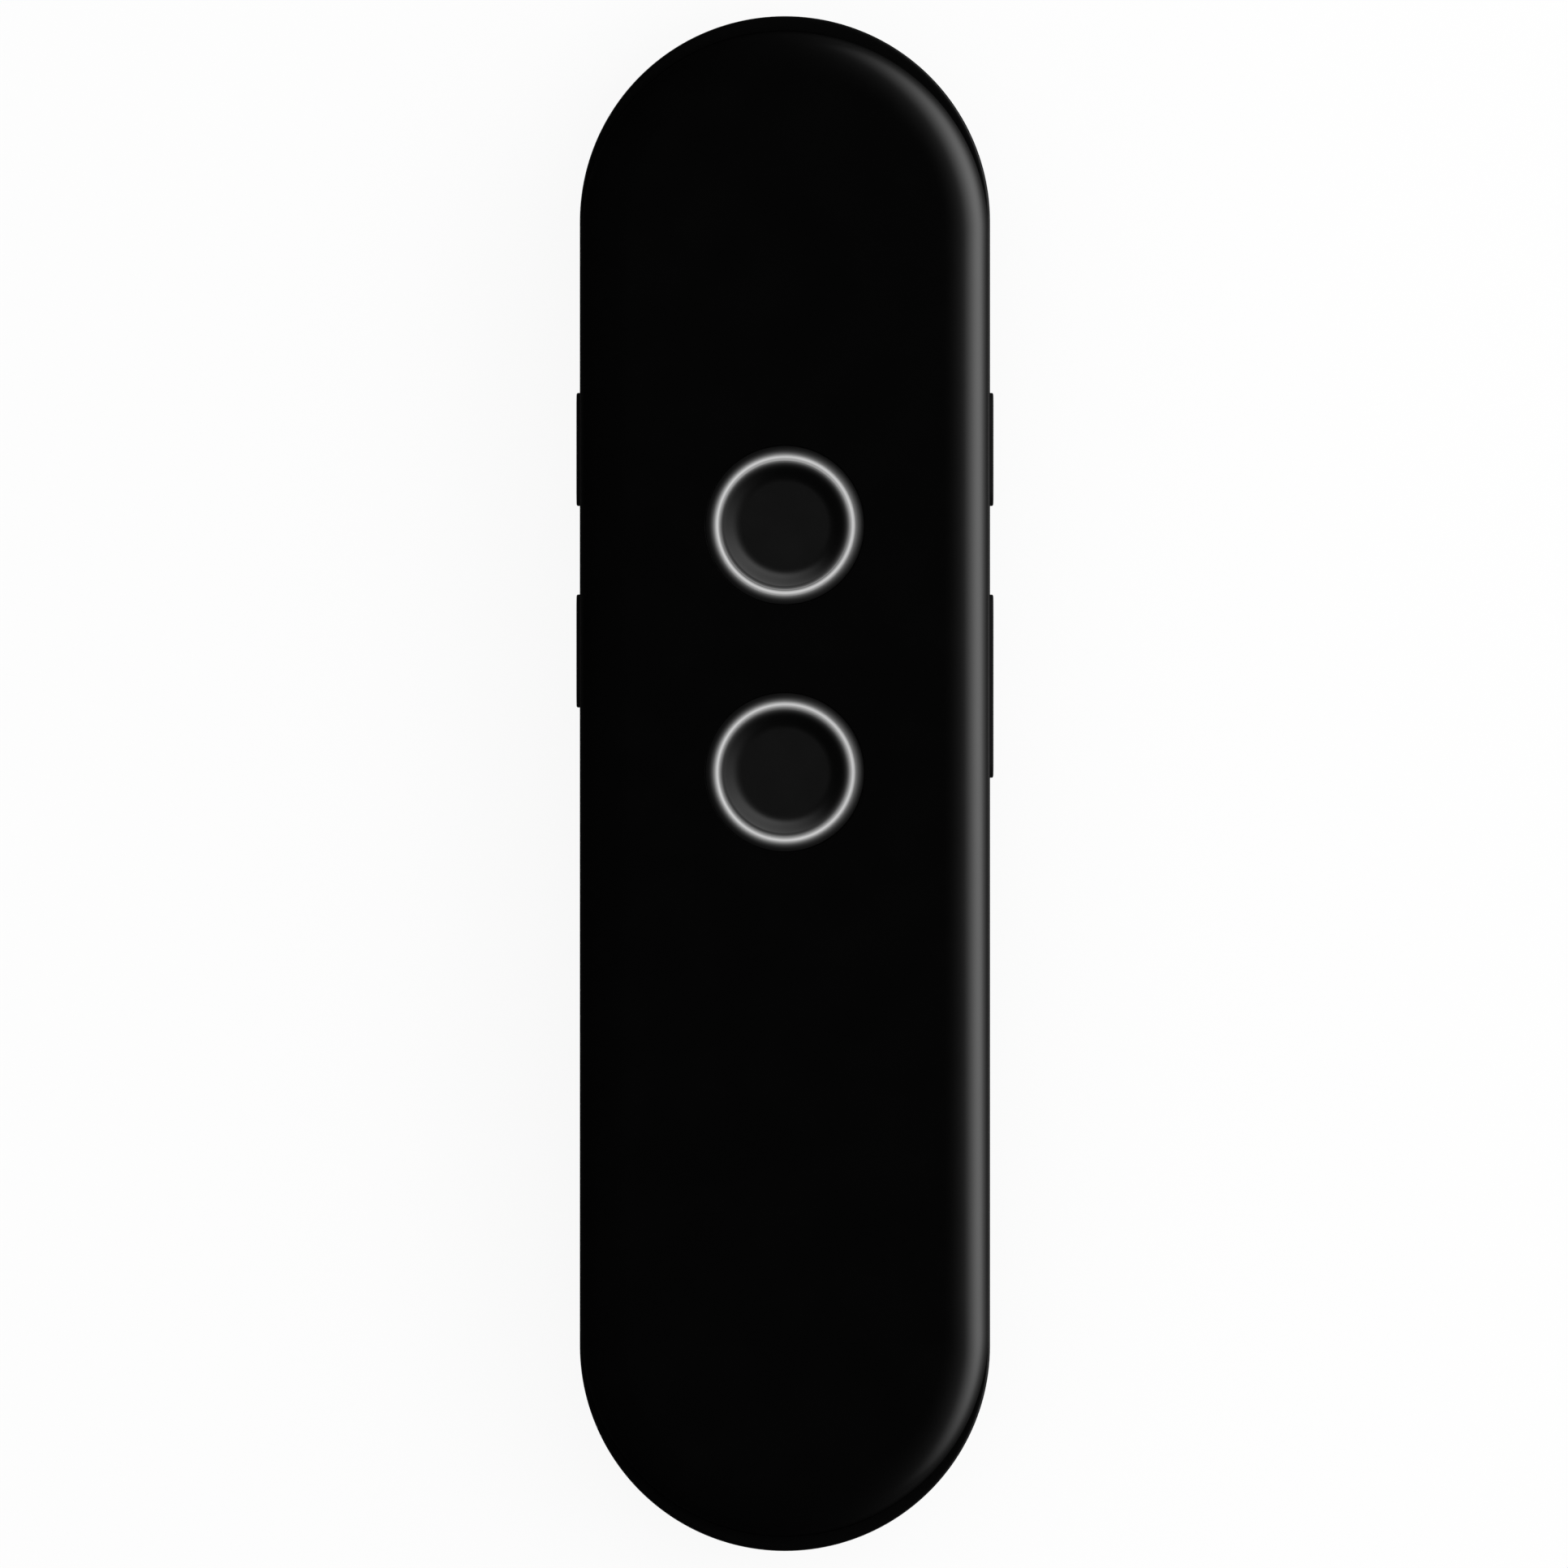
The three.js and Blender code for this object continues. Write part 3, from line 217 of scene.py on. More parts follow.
def evaluated(host: bpy.types.Object) -> bpy.types.Mesh:
    """The plain mesh that an object's modifiers give.

    Args:
        host: The object.

    Returns:
        The mesh.
    """
    bpy.context.view_layer.update()
    graph = bpy.context.evaluated_depsgraph_get()
    return bpy.data.meshes.new_from_object(host.evaluated_get(graph), depsgraph=graph)


def skin(verts: Sequence[Triple], count: int, ring: bool = False) -> Solid:
    """Skins rows of points, each of which closes on itself.

    Args:
        verts: The points, row after row.
        count: How many points a row has.
        ring: Whether the last row joins the first. If not, both are capped flat.

    Returns:
        The solid.
    """
    rows = len(verts) // count
    faces: list[Sequence[int]] = [
        (row * count + k, row * count + (k + 1) % count,
         (row + 1) % rows * count + (k + 1) % count, (row + 1) % rows * count + k)
        for row in range(rows if ring else rows - 1)
        for k in range(count)
    ]
    if not ring:
        faces += [list(range(count)), list(range((rows - 1) * count, rows * count))]
    mesh = bpy.data.meshes.new("solid")
    mesh.from_pydata(verts, [], faces)
    return Solid(mesh)


def swept(stations: Sequence[Triple], steps: int, ring: bool = False) -> Solid:
    """Sweeps a profile round a stadium whose straight sides may change in length.

    Args:
        stations: The radius, the level and the half length of the straight sides, for each point.
        steps: The facets of each half circle.
        ring: Whether the profile closes on itself. If not, its two ends are capped flat.

    Returns:
        The solid, standing on Z with its straight sides along Y.
    """
    turn = [(end, math.pi * (i / steps + (end < 0))) for end in (1, -1) for i in range(steps + 1)]
    verts = [
        (radius * math.cos(angle), radius * math.sin(angle) + end * core, level)
        for radius, level, core in stations
        for end, angle in turn
    ]
    return skin(verts, len(turn), ring)


def with_core(profile: Sequence[Point], core: float) -> list[Triple]:
    """Gives each point of a profile the same half length of the straight sides."""
    return [(radius, level, core) for radius, level in profile]


def stadium(profile: Sequence[Point], core: float, steps: int, ring: bool = False) -> Solid:
    """Sweeps a profile of radius and level round a stadium."""
    return swept(with_core(profile, core), steps, ring)


def lathe(profile: Sequence[Point], steps: int, ring: bool = False) -> Solid:
    """Turns a profile of radius and level round Z."""
    return stadium(profile, 0.0, steps, ring)


def rod(radius: float, low: float, high: float, steps: int = 16) -> Solid:
    """A plain round rod on Z, for bores and the small posts inside."""
    return lathe([(radius, low), (radius, high)], steps)


def arc(centre: Point, radii: Point, start: float, end: float, steps: int) -> list[Point]:
    """Points along an ellipse's arc, from one angle in degrees to another.

    Args:
        centre: The ellipse's centre.
        radii: Its radii across and up.
        start: The first angle.
        end: The last angle.
        steps: The facets of the arc.

    Returns:
        The points, one more than the facets.
    """
    (x, y), (across, up) = centre, radii
    angles = np.radians(np.linspace(start, end, steps + 1))
    return [(x + across * math.cos(a), y + up * math.sin(a)) for a in angles]


def rounded(corners: Sequence[Point], radius: float, steps: int = 6) -> list[Point]:
    """Rounds each corner of a convex outline.

    Args:
        corners: The outline's corners, anticlockwise.
        radius: The radius of each corner.
        steps: The facets of each corner.

    Returns:
        The rounded outline's points.
    """
    points: list[Point] = []
    for i, here in enumerate(corners):
        at = Vector(here)
        back = (Vector(corners[i - 1]) - at).normalized()
        on = (Vector(corners[(i + 1) % len(corners)]) - at).normalized()
        half = back.angle(on) / 2
        centre = at + (back + on).normalized() * (radius / math.sin(half))
        first = at + back * (radius / math.tan(half)) - centre
        for k in range(steps + 1):
            spoke = first.copy()
            spoke.rotate(Matrix.Rotation((math.pi - 2 * half) * k / steps, 2))
            points.append((centre.x + spoke.x, centre.y + spoke.y))
    return points


def oblong(width: float, length: float, corner: float, y: float = 0.0) -> list[Point]:
    """A rectangle's outline with round corners, about a point on Y."""
    w, l = width / 2, length / 2
    return [(px, py + y) for px, py in rounded([(-w, -l), (w, -l), (w, l), (-w, l)], corner)]


def loft(*sections: tuple[Sequence[Point], float]) -> Solid:
    """Joins outlines of X and Y that each stand at a level, and caps the first and the last."""
    verts = [(x, y, level) for outline, level in sections for x, y in outline]
    return skin(verts, len(sections[0][0]))


def prism(outline: Sequence[Point], low: float, high: float) -> Solid:
    """Raises an outline in X and Y from one level to another."""
    return loft((outline, low), (outline, high))


def block(low: Sequence[float], high: Sequence[float]) -> Solid:
    """A square-edged block between two corners, for nibs, ears and pockets that stay inside."""
    outline = [(low[0], low[1]), (high[0], low[1]), (high[0], high[1]), (low[0], high[1])]
    return prism(outline, low[2], high[2])


# A shape that is raised along Z is raised along X instead, and its Y side stays on Y
ALONG_X = Matrix(((0, 0, 1, 0), (0, 1, 0, 0), (-1, 0, 0, 0), (0, 0, 0, 1)))
# The same along -Y, with its Y side on Z
ALONG_MINUS_Y = Matrix(((1, 0, 0, 0), (0, 0, -1, 0), (0, 1, 0, 0), (0, 0, 0, 1)))
# The same along +Y
ALONG_Y = Matrix.Rotation(-math.pi / 2, 4, "X")
# A quarter turn about Z
ACROSS = Matrix.Rotation(math.pi / 2, 4, "Z")


# Shader nodes


class Value:
    """A number in a shader, on which Python's operators add Math nodes."""

    def __init__(self, shader: "Shader", socket: Socket) -> None:
        """Wraps a socket of a shader's tree."""
        self.shader, self.socket = shader, socket

    def math(self, operation: str, *others: Any) -> "Value":
        """Adds a Math node on this value and what else it takes."""
        return self.shader.math(operation, self, *others)

    def __add__(self, other: "Value | float") -> "Value":
        """This value plus another."""
        return self.math("ADD", other)

    def __radd__(self, other: float) -> "Value":
        """A number plus this value."""
        return self.math("ADD", other)

    def __sub__(self, other: "Value | float") -> "Value":
        """This value less another."""
        return self.math("SUBTRACT", other)

    def __rsub__(self, other: float) -> "Value":
        """A number less this value."""
        return self.shader.math("SUBTRACT", other, self)

    def __mul__(self, other: "Value | float") -> "Value":
        """This value times another."""
        return self.math("MULTIPLY", other)

    def __rmul__(self, other: float) -> "Value":
        """A number times this value."""
        return self.math("MULTIPLY", other)

    def __truediv__(self, other: "Value | float") -> "Value":
        """This value over another."""
        return self.math("DIVIDE", other)

    def __pow__(self, other: float) -> "Value":
        """This value to a power."""
        return self.math("POWER", other)

    def between(self, low: float, high: float, first: float = 0.0, last: float = 1.0) -> "Value":
        """Eases from a first result to a last one while this value goes from low to high.

        Args:
            low: Where the change starts.
            high: Where it ends.
            first: The result up to the start.
            last: The result from the end on.

        Returns:
            The eased value.
        """
        inputs = {"Value": self, "From Min": low, "From Max": high, "To Min": first, "To Max": last}
        eased = {"interpolation_type": "SMOOTHSTEP"}
        return self.shader.value("ShaderNodeMapRange", inputs, "Result", **eased)


class Shader:
    """A node tree, with one method that adds any node to it."""

    def __init__(self, owner: bpy.types.ID) -> None:
        """Starts the nodes of a material, a world or a lamp, or those of a tree itself.

        Args:
            owner: The material, world, lamp or tree.
        """
        if not isinstance(owner, bpy.types.NodeTree):
            owner.use_nodes = True
            owner = owner.node_tree
        self.tree = owner
        self.tree.nodes.clear()

    def node(self, kind: str, inputs: Inputs | None = None, **settings: Any) -> bpy.types.Node:
        """Adds a node.

        Args:
            kind: The node's type.
            inputs: A number, colour, Value or socket for each input's name, identifier or index.
            settings: Its settings, which are set first.

        Returns:
            The node.
        """
        node = self.tree.nodes.new(kind)
        for name, setting in settings.items():
            setattr(node, name, setting)
        for key, given in (inputs or {}).items():
            socket = node.inputs[key] if isinstance(key, int) else find_socket(node.inputs, key)
            source = given.socket if isinstance(given, Value) else given
            if isinstance(source, Socket):
                self.tree.links.new(source, socket)
            else:
                socket.default_value = source
        return node

    def value(
        self, kind: str, inputs: Inputs | None = None, output: str | int = 0, **settings: Any
    ) -> Value:
        """Adds a node and wraps one of its outputs."""
        return Value(self, self.node(kind, inputs, **settings).outputs[output])

    def math(self, operation: str, *inputs: Any) -> Value:
        """Adds a Math node on its inputs in order."""
        return self.value("ShaderNodeMath", dict(enumerate(inputs)), operation=operation)

    def vector(self, operation: str, *inputs: Any) -> Socket:
        """Adds a Vector Math node on its inputs in order."""
        given = dict(enumerate(inputs))
        return self.node("ShaderNodeVectorMath", given, operation=operation).outputs[0]

    def place(self) -> Socket:
        """The point's place in object coordinates, in metres."""
        return self.node("ShaderNodeTexCoord").outputs["Object"]

    def scaled(self, factors: Sequence[float], centre: Sequence[float] = (0, 0, 0)) -> Socket:
        """The place from a centre, scaled along each axis."""
        return self.vector("MULTIPLY", self.vector("SUBTRACT", self.place(), centre), factors)

    def parts(self, vector: Socket) -> list[Value]:
        """The X, Y and Z of a vector."""
        return [Value(self, out) for out in self.node("ShaderNodeSeparateXYZ", {0: vector}).outputs]

    def radius(self, y: float) -> Value:
        """The distance in millimetres from the axis of a talk key."""
        flat = self.scaled((1 / MM, 1 / MM, 0), (0, y * MM, 0))
        return self.value("ShaderNodeVectorMath", {0: flat}, "Value", operation="LENGTH")

    def noise(self, scale: float, detail: float = 2.0, where: Socket | None = None) -> Value:
        """Even noise from 0 to 1, with patches of 1 / scale metres."""
        inputs = {"Vector": where or self.place(), "Scale": scale, "Detail": detail}
        return self.value("ShaderNodeTexNoise", inputs)

    def waves(self, direction: str, scale: float, where: Socket) -> Value:
        """Straight waves from 0 to 1 that follow each other along X or Y."""
        bands = {"wave_type": "BANDS", "bands_direction": direction}
        return self.value("ShaderNodeTexWave", {"Vector": where, "Scale": scale}, "Fac", **bands)

    def mix(self, factor: Value | float, first: Any, second: Any) -> Socket:
        """A colour between two others, each of which may be a link.

        Args:
            factor: How much of the second colour there is.
            first: The first colour.
            second: The second colour.

        Returns:
            The mixed colour.
        """
        colours = {"Factor_Float": factor, "A_Color": rgba(first), "B_Color": rgba(second)}
        outputs = self.node("ShaderNodeMix", colours, data_type="RGBA").outputs
        return find_socket(outputs, "Result_Color")

    def bump(self, height: Value, depth: float) -> Socket:
        """A normal from a height from 0 to 1, which stands for a depth in metres."""
        return self.node("ShaderNodeBump", {"Height": height, "Distance": depth}).outputs["Normal"]

    def rays(self) -> tuple[Value, Value, Value]:
        """How the point is seen: by the camera, by the camera even through glass, and by gloss.

        Returns:
            A value of 0 or 1 for each.
        """
        paths = self.node("ShaderNodeLightPath").outputs
        camera, glossy = (Value(self, paths[f"Is {kind} Ray"]) for kind in ("Camera", "Glossy"))
        return camera, camera.math("MAXIMUM", paths["Is Transmission Ray"]), glossy

    def blend(self, share: Value, first: bpy.types.Node, second: bpy.types.Node) -> bpy.types.Node:
        """A shader between two others."""
        inputs = {0: share, 1: first.outputs[0], 2: second.outputs[0]}
        return self.node("ShaderNodeMixShader", inputs)

    def end(self, surface: bpy.types.Node, kind: str = "Material") -> None:
        """Makes a shader the surface of the material, the World or the Light."""
        self.node(f"ShaderNodeOutput{kind}", {"Surface": surface.outputs[0]})


def find_socket(sockets: Any, key: str) -> Socket:
    """Finds a socket by its identifier, or else by its name."""
    return next((s for s in sockets if s.identifier == key), None) or sockets[key]


def rgba(colour: Any) -> Any:
    """A colour with its alpha, or a link as it is."""
    return colour if isinstance(colour, (Socket, Value)) else (*colour, 1.0)


def grey(level: float) -> Colour:
    """A neutral colour."""
    return (level, level, level)


def times(colour: Colour, factor: float) -> Colour:
    """A colour made lighter or darker."""
    return tuple(min(1.0, part * factor) for part in colour)


# Finishes
# Scales count patches, lines or waves per metre, depths are in metres, and an edge holds where a
# mark starts and where it is full


@dataclass(frozen=True)
class Finish:
    """A finish on the principled shader. Each kind says what feeds the shader's sockets."""

    name: str

    def material(self) -> bpy.types.Material:
        """Makes the material.

        Returns:
            The material.
        """
        made = bpy.data.materials.new(self.name)
        shader = Shader(made)
        shader.end(shader.node("ShaderNodeBsdfPrincipled", self.paint(shader)))
        return made

    def paint(self, shader: Shader) -> dict[str, Any]:
        """The principled shader's inputs."""
        raise NotImplementedError


@dataclass(frozen=True)
class Moulding(Finish):
    """A moulded plastic or rubber: flow marks in its colour, rubbed patches and a fine grain."""

    colour: Colour
    roughness: float
    spread: float = 0.04
    grain: float = 3500.0
    depth: float = 4e-6
    level: float = 0.5
    tint: float = 1.5
    flow_scale: float = 45.0
    flow_edge: Point = (0.3, 0.75)
    rub_scale: float = 160.0
    rub_edge: Point = (0.35, 0.7)

    def paint(self, shader: Shader) -> dict[str, Any]:
        """The principled shader's inputs.

        Args:
            shader: The material's shader.

        Returns:
            A number, colour, Value or socket for each input's name.
        """
        flow = shader.noise(self.flow_scale, detail=3.0).between(*self.flow_edge)
        rubbed = shader.noise(self.rub_scale, detail=4.0).between(*self.rub_edge)
        return {
            "Base Color": shader.mix(flow, self.colour, times(self.colour, self.tint)),
            "Roughness": rubbed * (2 * self.spread) + (self.roughness - self.spread),
            "Specular IOR Level": self.level,
            "Normal": shader.bump(shader.noise(self.grain), self.depth),
        }


@dataclass(frozen=True)
class Band(Moulding):
    """The mid frame's satin moulding, with its step beside the front cover polished black."""

    step: float = 9.6
    edge: Point = (0.06, 0.02)
    polished: float = 0.3
    black: Colour = (0.0003, 0.0003, 0.0003)

    def paint(self, shader: Shader) -> dict[str, Any]:
        """The principled shader's inputs.

        Args:
            shader: The material's shader.

        Returns:
            A number, colour, Value or socket for each input's name.
        """
        inputs = super().paint(shader)
        level = shader.parts(shader.place())[2] / MM
        mask = level.between(self.step - self.edge[0], self.step - self.edge[1])
        inputs["Base Color"] = shader.mix(mask, inputs["Base Color"], self.black)
        inputs["Roughness"] = inputs["Roughness"] * (1 - mask) + mask * self.polished
        return inputs


@dataclass(frozen=True)
class Metal(Finish):
    """Plated or coated sheet metal, with drawing lines along X and stains that dull it."""

    colour: Colour
    roughness: float
    lines: Triple = (300.0, 6000.0, 6000.0)
    line_dulling: float = 0.12
    depth: float = 2e-6
    stain_scale: float = 420.0
    stain_edge: Point = (0.4, 0.75)
    stain_dulling: float = 0.08
    stained: float = 0.78
    metallic: float = 0.9

    def paint(self, shader: Shader) -> dict[str, Any]:
        """The principled shader's inputs.

        Args:
            shader: The material's shader.

        Returns:
            A number, colour, Value or socket for each input's name.
        """
        drawn = shader.noise(1.0, detail=3.0, where=shader.scaled(self.lines))
        stain = shader.noise(self.stain_scale, detail=4.0).between(*self.stain_edge)
        least = self.roughness - self.line_dulling / 2
        return {
            "Base Color": shader.mix(stain, self.colour, times(self.colour, self.stained)),
            "Metallic": self.metallic,
            "Roughness": drawn * self.line_dulling + stain * self.stain_dulling + least,
            "Normal": shader.bump(drawn, self.depth),
        }


@dataclass(frozen=True)
class Woven(Finish):
    """Fine cloth or open foam: threads both ways in bump and colour."""

    colour: Colour
    pitch: float
    depth: float = 2e-5
    pale: float = 2.2
    roughness: float = 0.95
    smoother: float = 0.1

    def paint(self, shader: Shader) -> dict[str, Any]:
        """The principled shader's inputs.

        Args:
            shader: The material's shader.

        Returns:
            A number, colour, Value or socket for each input's name.
        """
        warp, weft = (shader.waves(way, WAVE_WIDTH / self.pitch, shader.place()) for way in "XY")
        cloth = warp.math("MAXIMUM", weft)
        return {
            "Base Color": shader.mix(cloth, self.colour, times(self.colour, self.pale)),
            "Roughness": self.roughness - cloth * self.smoother,
            "Normal": shader.bump(cloth, self.depth),
        }


@dataclass(frozen=True)
class SolderMask(Finish):
    """The board's mask over its laminate, with copper tracks under it and tinned vias.

    The patches are picked by shares. Those under the first hold tracks that follow each other along
    X, those over the second are one plain area, and in the others the tracks follow along Y.
    """

    mask: Colour = (0.008, 0.052, 0.02)
    track: Colour = (0.016, 0.115, 0.043)
    tin: Colour = (0.55, 0.54, 0.5)
    track_scale: float = 650.0
    track_edge: Point = (0.5, 0.65)
    patch_scale: float = 130.0
    shares: Point = (0.45, 0.62)
    plain_height: float = 0.6
    via_pitch: float = 2.7 * MM
    via_scatter: float = 0.6
    via_edge: Point = (0.1, 0.13)
    weave_scale: float = 2600.0
    weave_dulling: float = 0.12
    roughness: float = 0.38
    reliefs: Triple = (0.6, 0.3, 0.1)
    depth: float = 2e-5

    def paint(self, shader: Shader) -> dict[str, Any]:
        """The principled shader's inputs.

        Args:
            shader: The material's shader.

        Returns:
            A number, colour, Value or socket for each input's name.
        """
        flat = shader.scaled((1, 1, 0))
        patches = {"Vector": flat, "Scale": self.patch_scale}
        pick = shader.value("ShaderNodeTexVoronoi", patches, "Color", distance="MANHATTAN")
        waves = [shader.waves(way, self.track_scale, flat) for way in "XY"]
        first, second = (wave.between(*self.track_edge) for wave in waves)
        along = pick.math("LESS_THAN", self.shares[0])
        plain = pick.math("GREATER_THAN", self.shares[1])
        lines = first * along + second * (1 - along)
        tracks = lines * (1 - plain) + plain * self.plain_height
        spots = {"Vector": flat, "Scale": 1 / self.via_pitch, "Randomness": self.via_scatter}
        away = shader.value("ShaderNodeTexVoronoi", spots, "Distance")
        via = 1 - away.between(*self.via_edge)
        weave = shader.noise(self.weave_scale)
        raised = [part * share for part, share in zip((tracks, via, weave), self.reliefs)]
        return {
            "Base Color": shader.mix(via, shader.mix(tracks, self.mask, self.track), self.tin),
            "Metallic": via,
            "Roughness": weave * self.weave_dulling + self.roughness,
            "Normal": shader.bump(raised[0] + raised[1] + raised[2], self.depth),
        }


@dataclass(frozen=True)
class Foil(Finish):
    """The pouch cell's laminate: soft dents, creases with painted shade, and a satin sheen."""

    colour: Colour = (0.42, 0.43, 0.45)
    painted_crease_shade: float = 0.8
    dent_scale: float = 140.0
    dent_share: float = 0.8
    creases: Triple = (900.0, 120.0, 300.0)
    crease_edge: Point = (0.35, 0.7)
    crease_dulling: float = 0.15
    roughness: float = 0.28
    metallic: float = 0.85
    depth: float = 1.2e-4

    def paint(self, shader: Shader) -> dict[str, Any]:
        """The principled shader's inputs.

        Args:
            shader: The material's shader.

        Returns:
            A number, colour, Value or socket for each input's name.
        """
        dents = shader.noise(self.dent_scale, detail=3.0)
        crease = shader.noise(1.0, detail=4.0, where=shader.scaled(self.creases))
        dark = crease.between(*self.crease_edge)
        height = dents * self.dent_share + crease * (1 - self.dent_share)
        return {
            # Painted shade: the colour is darker along the creases
            "Base Color": shader.mix(dark, self.colour, times(self.colour, self.painted_crease_shade)),
            "Metallic": self.metallic,
            "Roughness": crease * self.crease_dulling + self.roughness,
            "Normal": shader.bump(height, self.depth),
        }


@dataclass(frozen=True)
class RingGlowAndPaintedSpill(Finish):
    """A talk key's glow by the distance from the ring's crest, painted light where it is off the
    ring.
    """

    y: float
    crest: float = 6.27
    peak: float = 0.56
    reach: float = 0.245
    fade: float = 1.34

    def glow(self, shader: Shader) -> Value:
        """How bright the point glows, painted light where the point is off the ring."""
        away = (shader.radius(self.y) - self.crest).math("ABSOLUTE") / self.reach
        return ((away**self.fade) * -1.0).math("EXPONENT") * self.peak

    def lit(self, shader: Shader, strength: Value, inputs: dict[str, Any]) -> dict[str, Any]:
        """Adds the glow to the principled shader's other inputs."""
        # Emission: the light guide's own light on the ring, painted light on the cap and the bezel
        shed = {"Emission Color": shader.mix(strength, grey(0), grey(1)), "Emission Strength": 1.0}
        return {**inputs, **shed}


@dataclass(frozen=True)
class KeyFinish(RingGlowAndPaintedSpill):
    """A talk key's cap: a fine-grained flat in a smooth dish, with the ring's light painted on its
    rim.
    """

    flat: float = 0.0033
    slope: float = 0.0003
    flat_edge: Point = (3.9, 4.5)
    roughness: float = 0.33
    wear_scale: float = 300.0
    wear_edge: Point = (0.3, 0.7)
    wear_dulling: float = 0.04
    grain: float = 4200.0
    slope_smoothing: float = 0.6
    depth: float = 5e-6

    def paint(self, shader: Shader) -> dict[str, Any]:
        """The principled shader's inputs.

        Args:
            shader: The material's shader.

        Returns:
            A number, colour, Value or socket for each input's name.
        """
        out = shader.radius(self.y).between(*self.flat_edge)
        worn = shader.noise(self.wear_scale, detail=3.0).between(*self.wear_edge)
        grain = shader.noise(self.grain) * (1 - out * self.slope_smoothing)
        inputs = {
            "Base Color": shader.mix(out, grey(self.flat), grey(self.slope)),
            "Roughness": worn * self.wear_dulling + self.roughness,
            "Normal": shader.bump(grain, self.depth),
        }
        # The ring's light on the cap's rim is painted light, an emission that fades from the crest
        return self.lit(shader, self.glow(shader), inputs)


@dataclass(frozen=True)
class RingFinish(RingGlowAndPaintedSpill):
    """The frosted light guide, brightest along its crest, a little uneven from its two lamps."""

    frost_scale: float = 2500.0
    frost_edge: Point = (0.2, 0.8)
    frost_dulling: float = 0.15
    levels: Point = (0.03, 0.045)
    roughness: float = 0.4
    depth: float = 3e-6
    cloud_scale: float = 260.0
    cloud_edge: Point = (0.3, 0.7)
    dimmest: float = 0.94

    def paint(self, shader: Shader) -> dict[str, Any]:
        """The principled shader's inputs.

        Args:
            shader: The material's shader.

        Returns:
            A number, colour, Value or socket for each input's name.
        """
        frost = shader.noise(self.frost_scale)
        cloud = shader.noise(self.cloud_scale).between(*self.cloud_edge, self.dimmest, 1.0)
        dark, pale = (grey(level) for level in self.levels)
        inputs = {
            "Base Color": shader.mix(frost.between(*self.frost_edge), dark, pale),
            "Roughness": frost * self.frost_dulling + self.roughness,
            "Normal": shader.bump(frost, self.depth),
        }
        return self.lit(shader, self.glow(shader) * cloud, inputs)


@dataclass(frozen=True)
class BezelFinish(RingGlowAndPaintedSpill):
    """The satin black bezel, with the ring's light painted down its slope."""

    smear_scale: float = 350.0
    smear_dulling: float = 0.06
    levels: Point = (0.0003, 0.0006)
    roughness: float = 0.5
    level: float = 0.25
    grain: float = 3000.0
    depth: float = 1e-6

    def paint(self, shader: Shader) -> dict[str, Any]:
        """The principled shader's inputs.

        Args:
            shader: The material's shader.

        Returns:
            A number, colour, Value or socket for each input's name.
        """
        smear = shader.noise(self.smear_scale, detail=3.0)
        dark, pale = (grey(level) for level in self.levels)
        inputs = {
            "Base Color": shader.mix(smear, dark, pale),
            "Roughness": smear * self.smear_dulling + self.roughness,
            "Specular IOR Level": self.level,
            "Normal": shader.bump(shader.noise(self.grain), self.depth),
        }
        # The ring's light on the bezel is painted light, an emission that fades from the crest
        return self.lit(shader, self.glow(shader), inputs)


FINISHES = {
    Slot.GLOSS: Moulding(
        "gloss_housing", grey(0.0001), roughness=0.22, spread=0.01, grain=900.0, depth=4e-7
    ),
    Slot.SATIN: Moulding(
        "satin_housing", grey(0.006), roughness=0.45, spread=0.022, grain=5200.0, depth=9e-6,
        level=0.4, tint=1.3,
    ),
    Slot.PLATED: Metal("plated_steel", (0.56, 0.57, 0.58), roughness=0.26),
    Slot.DARK_STEEL: Metal("black_coated_steel", (0.028, 0.028, 0.03), roughness=0.42),
    Slot.CHIP: Moulding(
        "black_epoxy", grey(0.018), roughness=0.62, spread=0.05, grain=5200.0, depth=8e-6
    ),
    Slot.NYLON: Moulding(
        "cream_nylon", (0.6, 0.54, 0.43), roughness=0.55, spread=0.05, grain=2600.0, depth=5e-6,
        tint=1.12,
    ),
    Slot.RUBBER: Moulding(
        "black_rubber", grey(0.014), roughness=0.85, spread=0.05, grain=3800.0, depth=1e-5
    ),
    Slot.FILM: Moulding(
        "white_film", (0.72, 0.71, 0.67), roughness=0.6, spread=0.06, grain=1500.0, depth=6e-6,
        tint=1.1,
    ),
    Slot.RED_WIRE: Moulding(
        "red_sleeve", (0.36, 0.014, 0.01), roughness=0.45, spread=0.05, grain=2200.0, depth=6e-6
    ),
    Slot.BLACK_WIRE: Moulding(
        "black_sleeve", grey(0.009), roughness=0.45, spread=0.05, grain=2200.0, depth=6e-6
    ),
    Slot.BOARD: SolderMask("board_solder_mask"),
    Slot.FOIL: Foil("pouch_foil"),
    Slot.FOAM: Woven("black_cloth", grey(0.012), pitch=0.12 * MM),
}
# The side keys are duller than the frame round them
SIDE_KEY_MATTE = Moulding(
    "side_key_matte", grey(0.003), roughness=0.52, spread=0.04, grain=5200.0, depth=7e-6,
    level=0.2, tint=1.3,
)


# Pieces


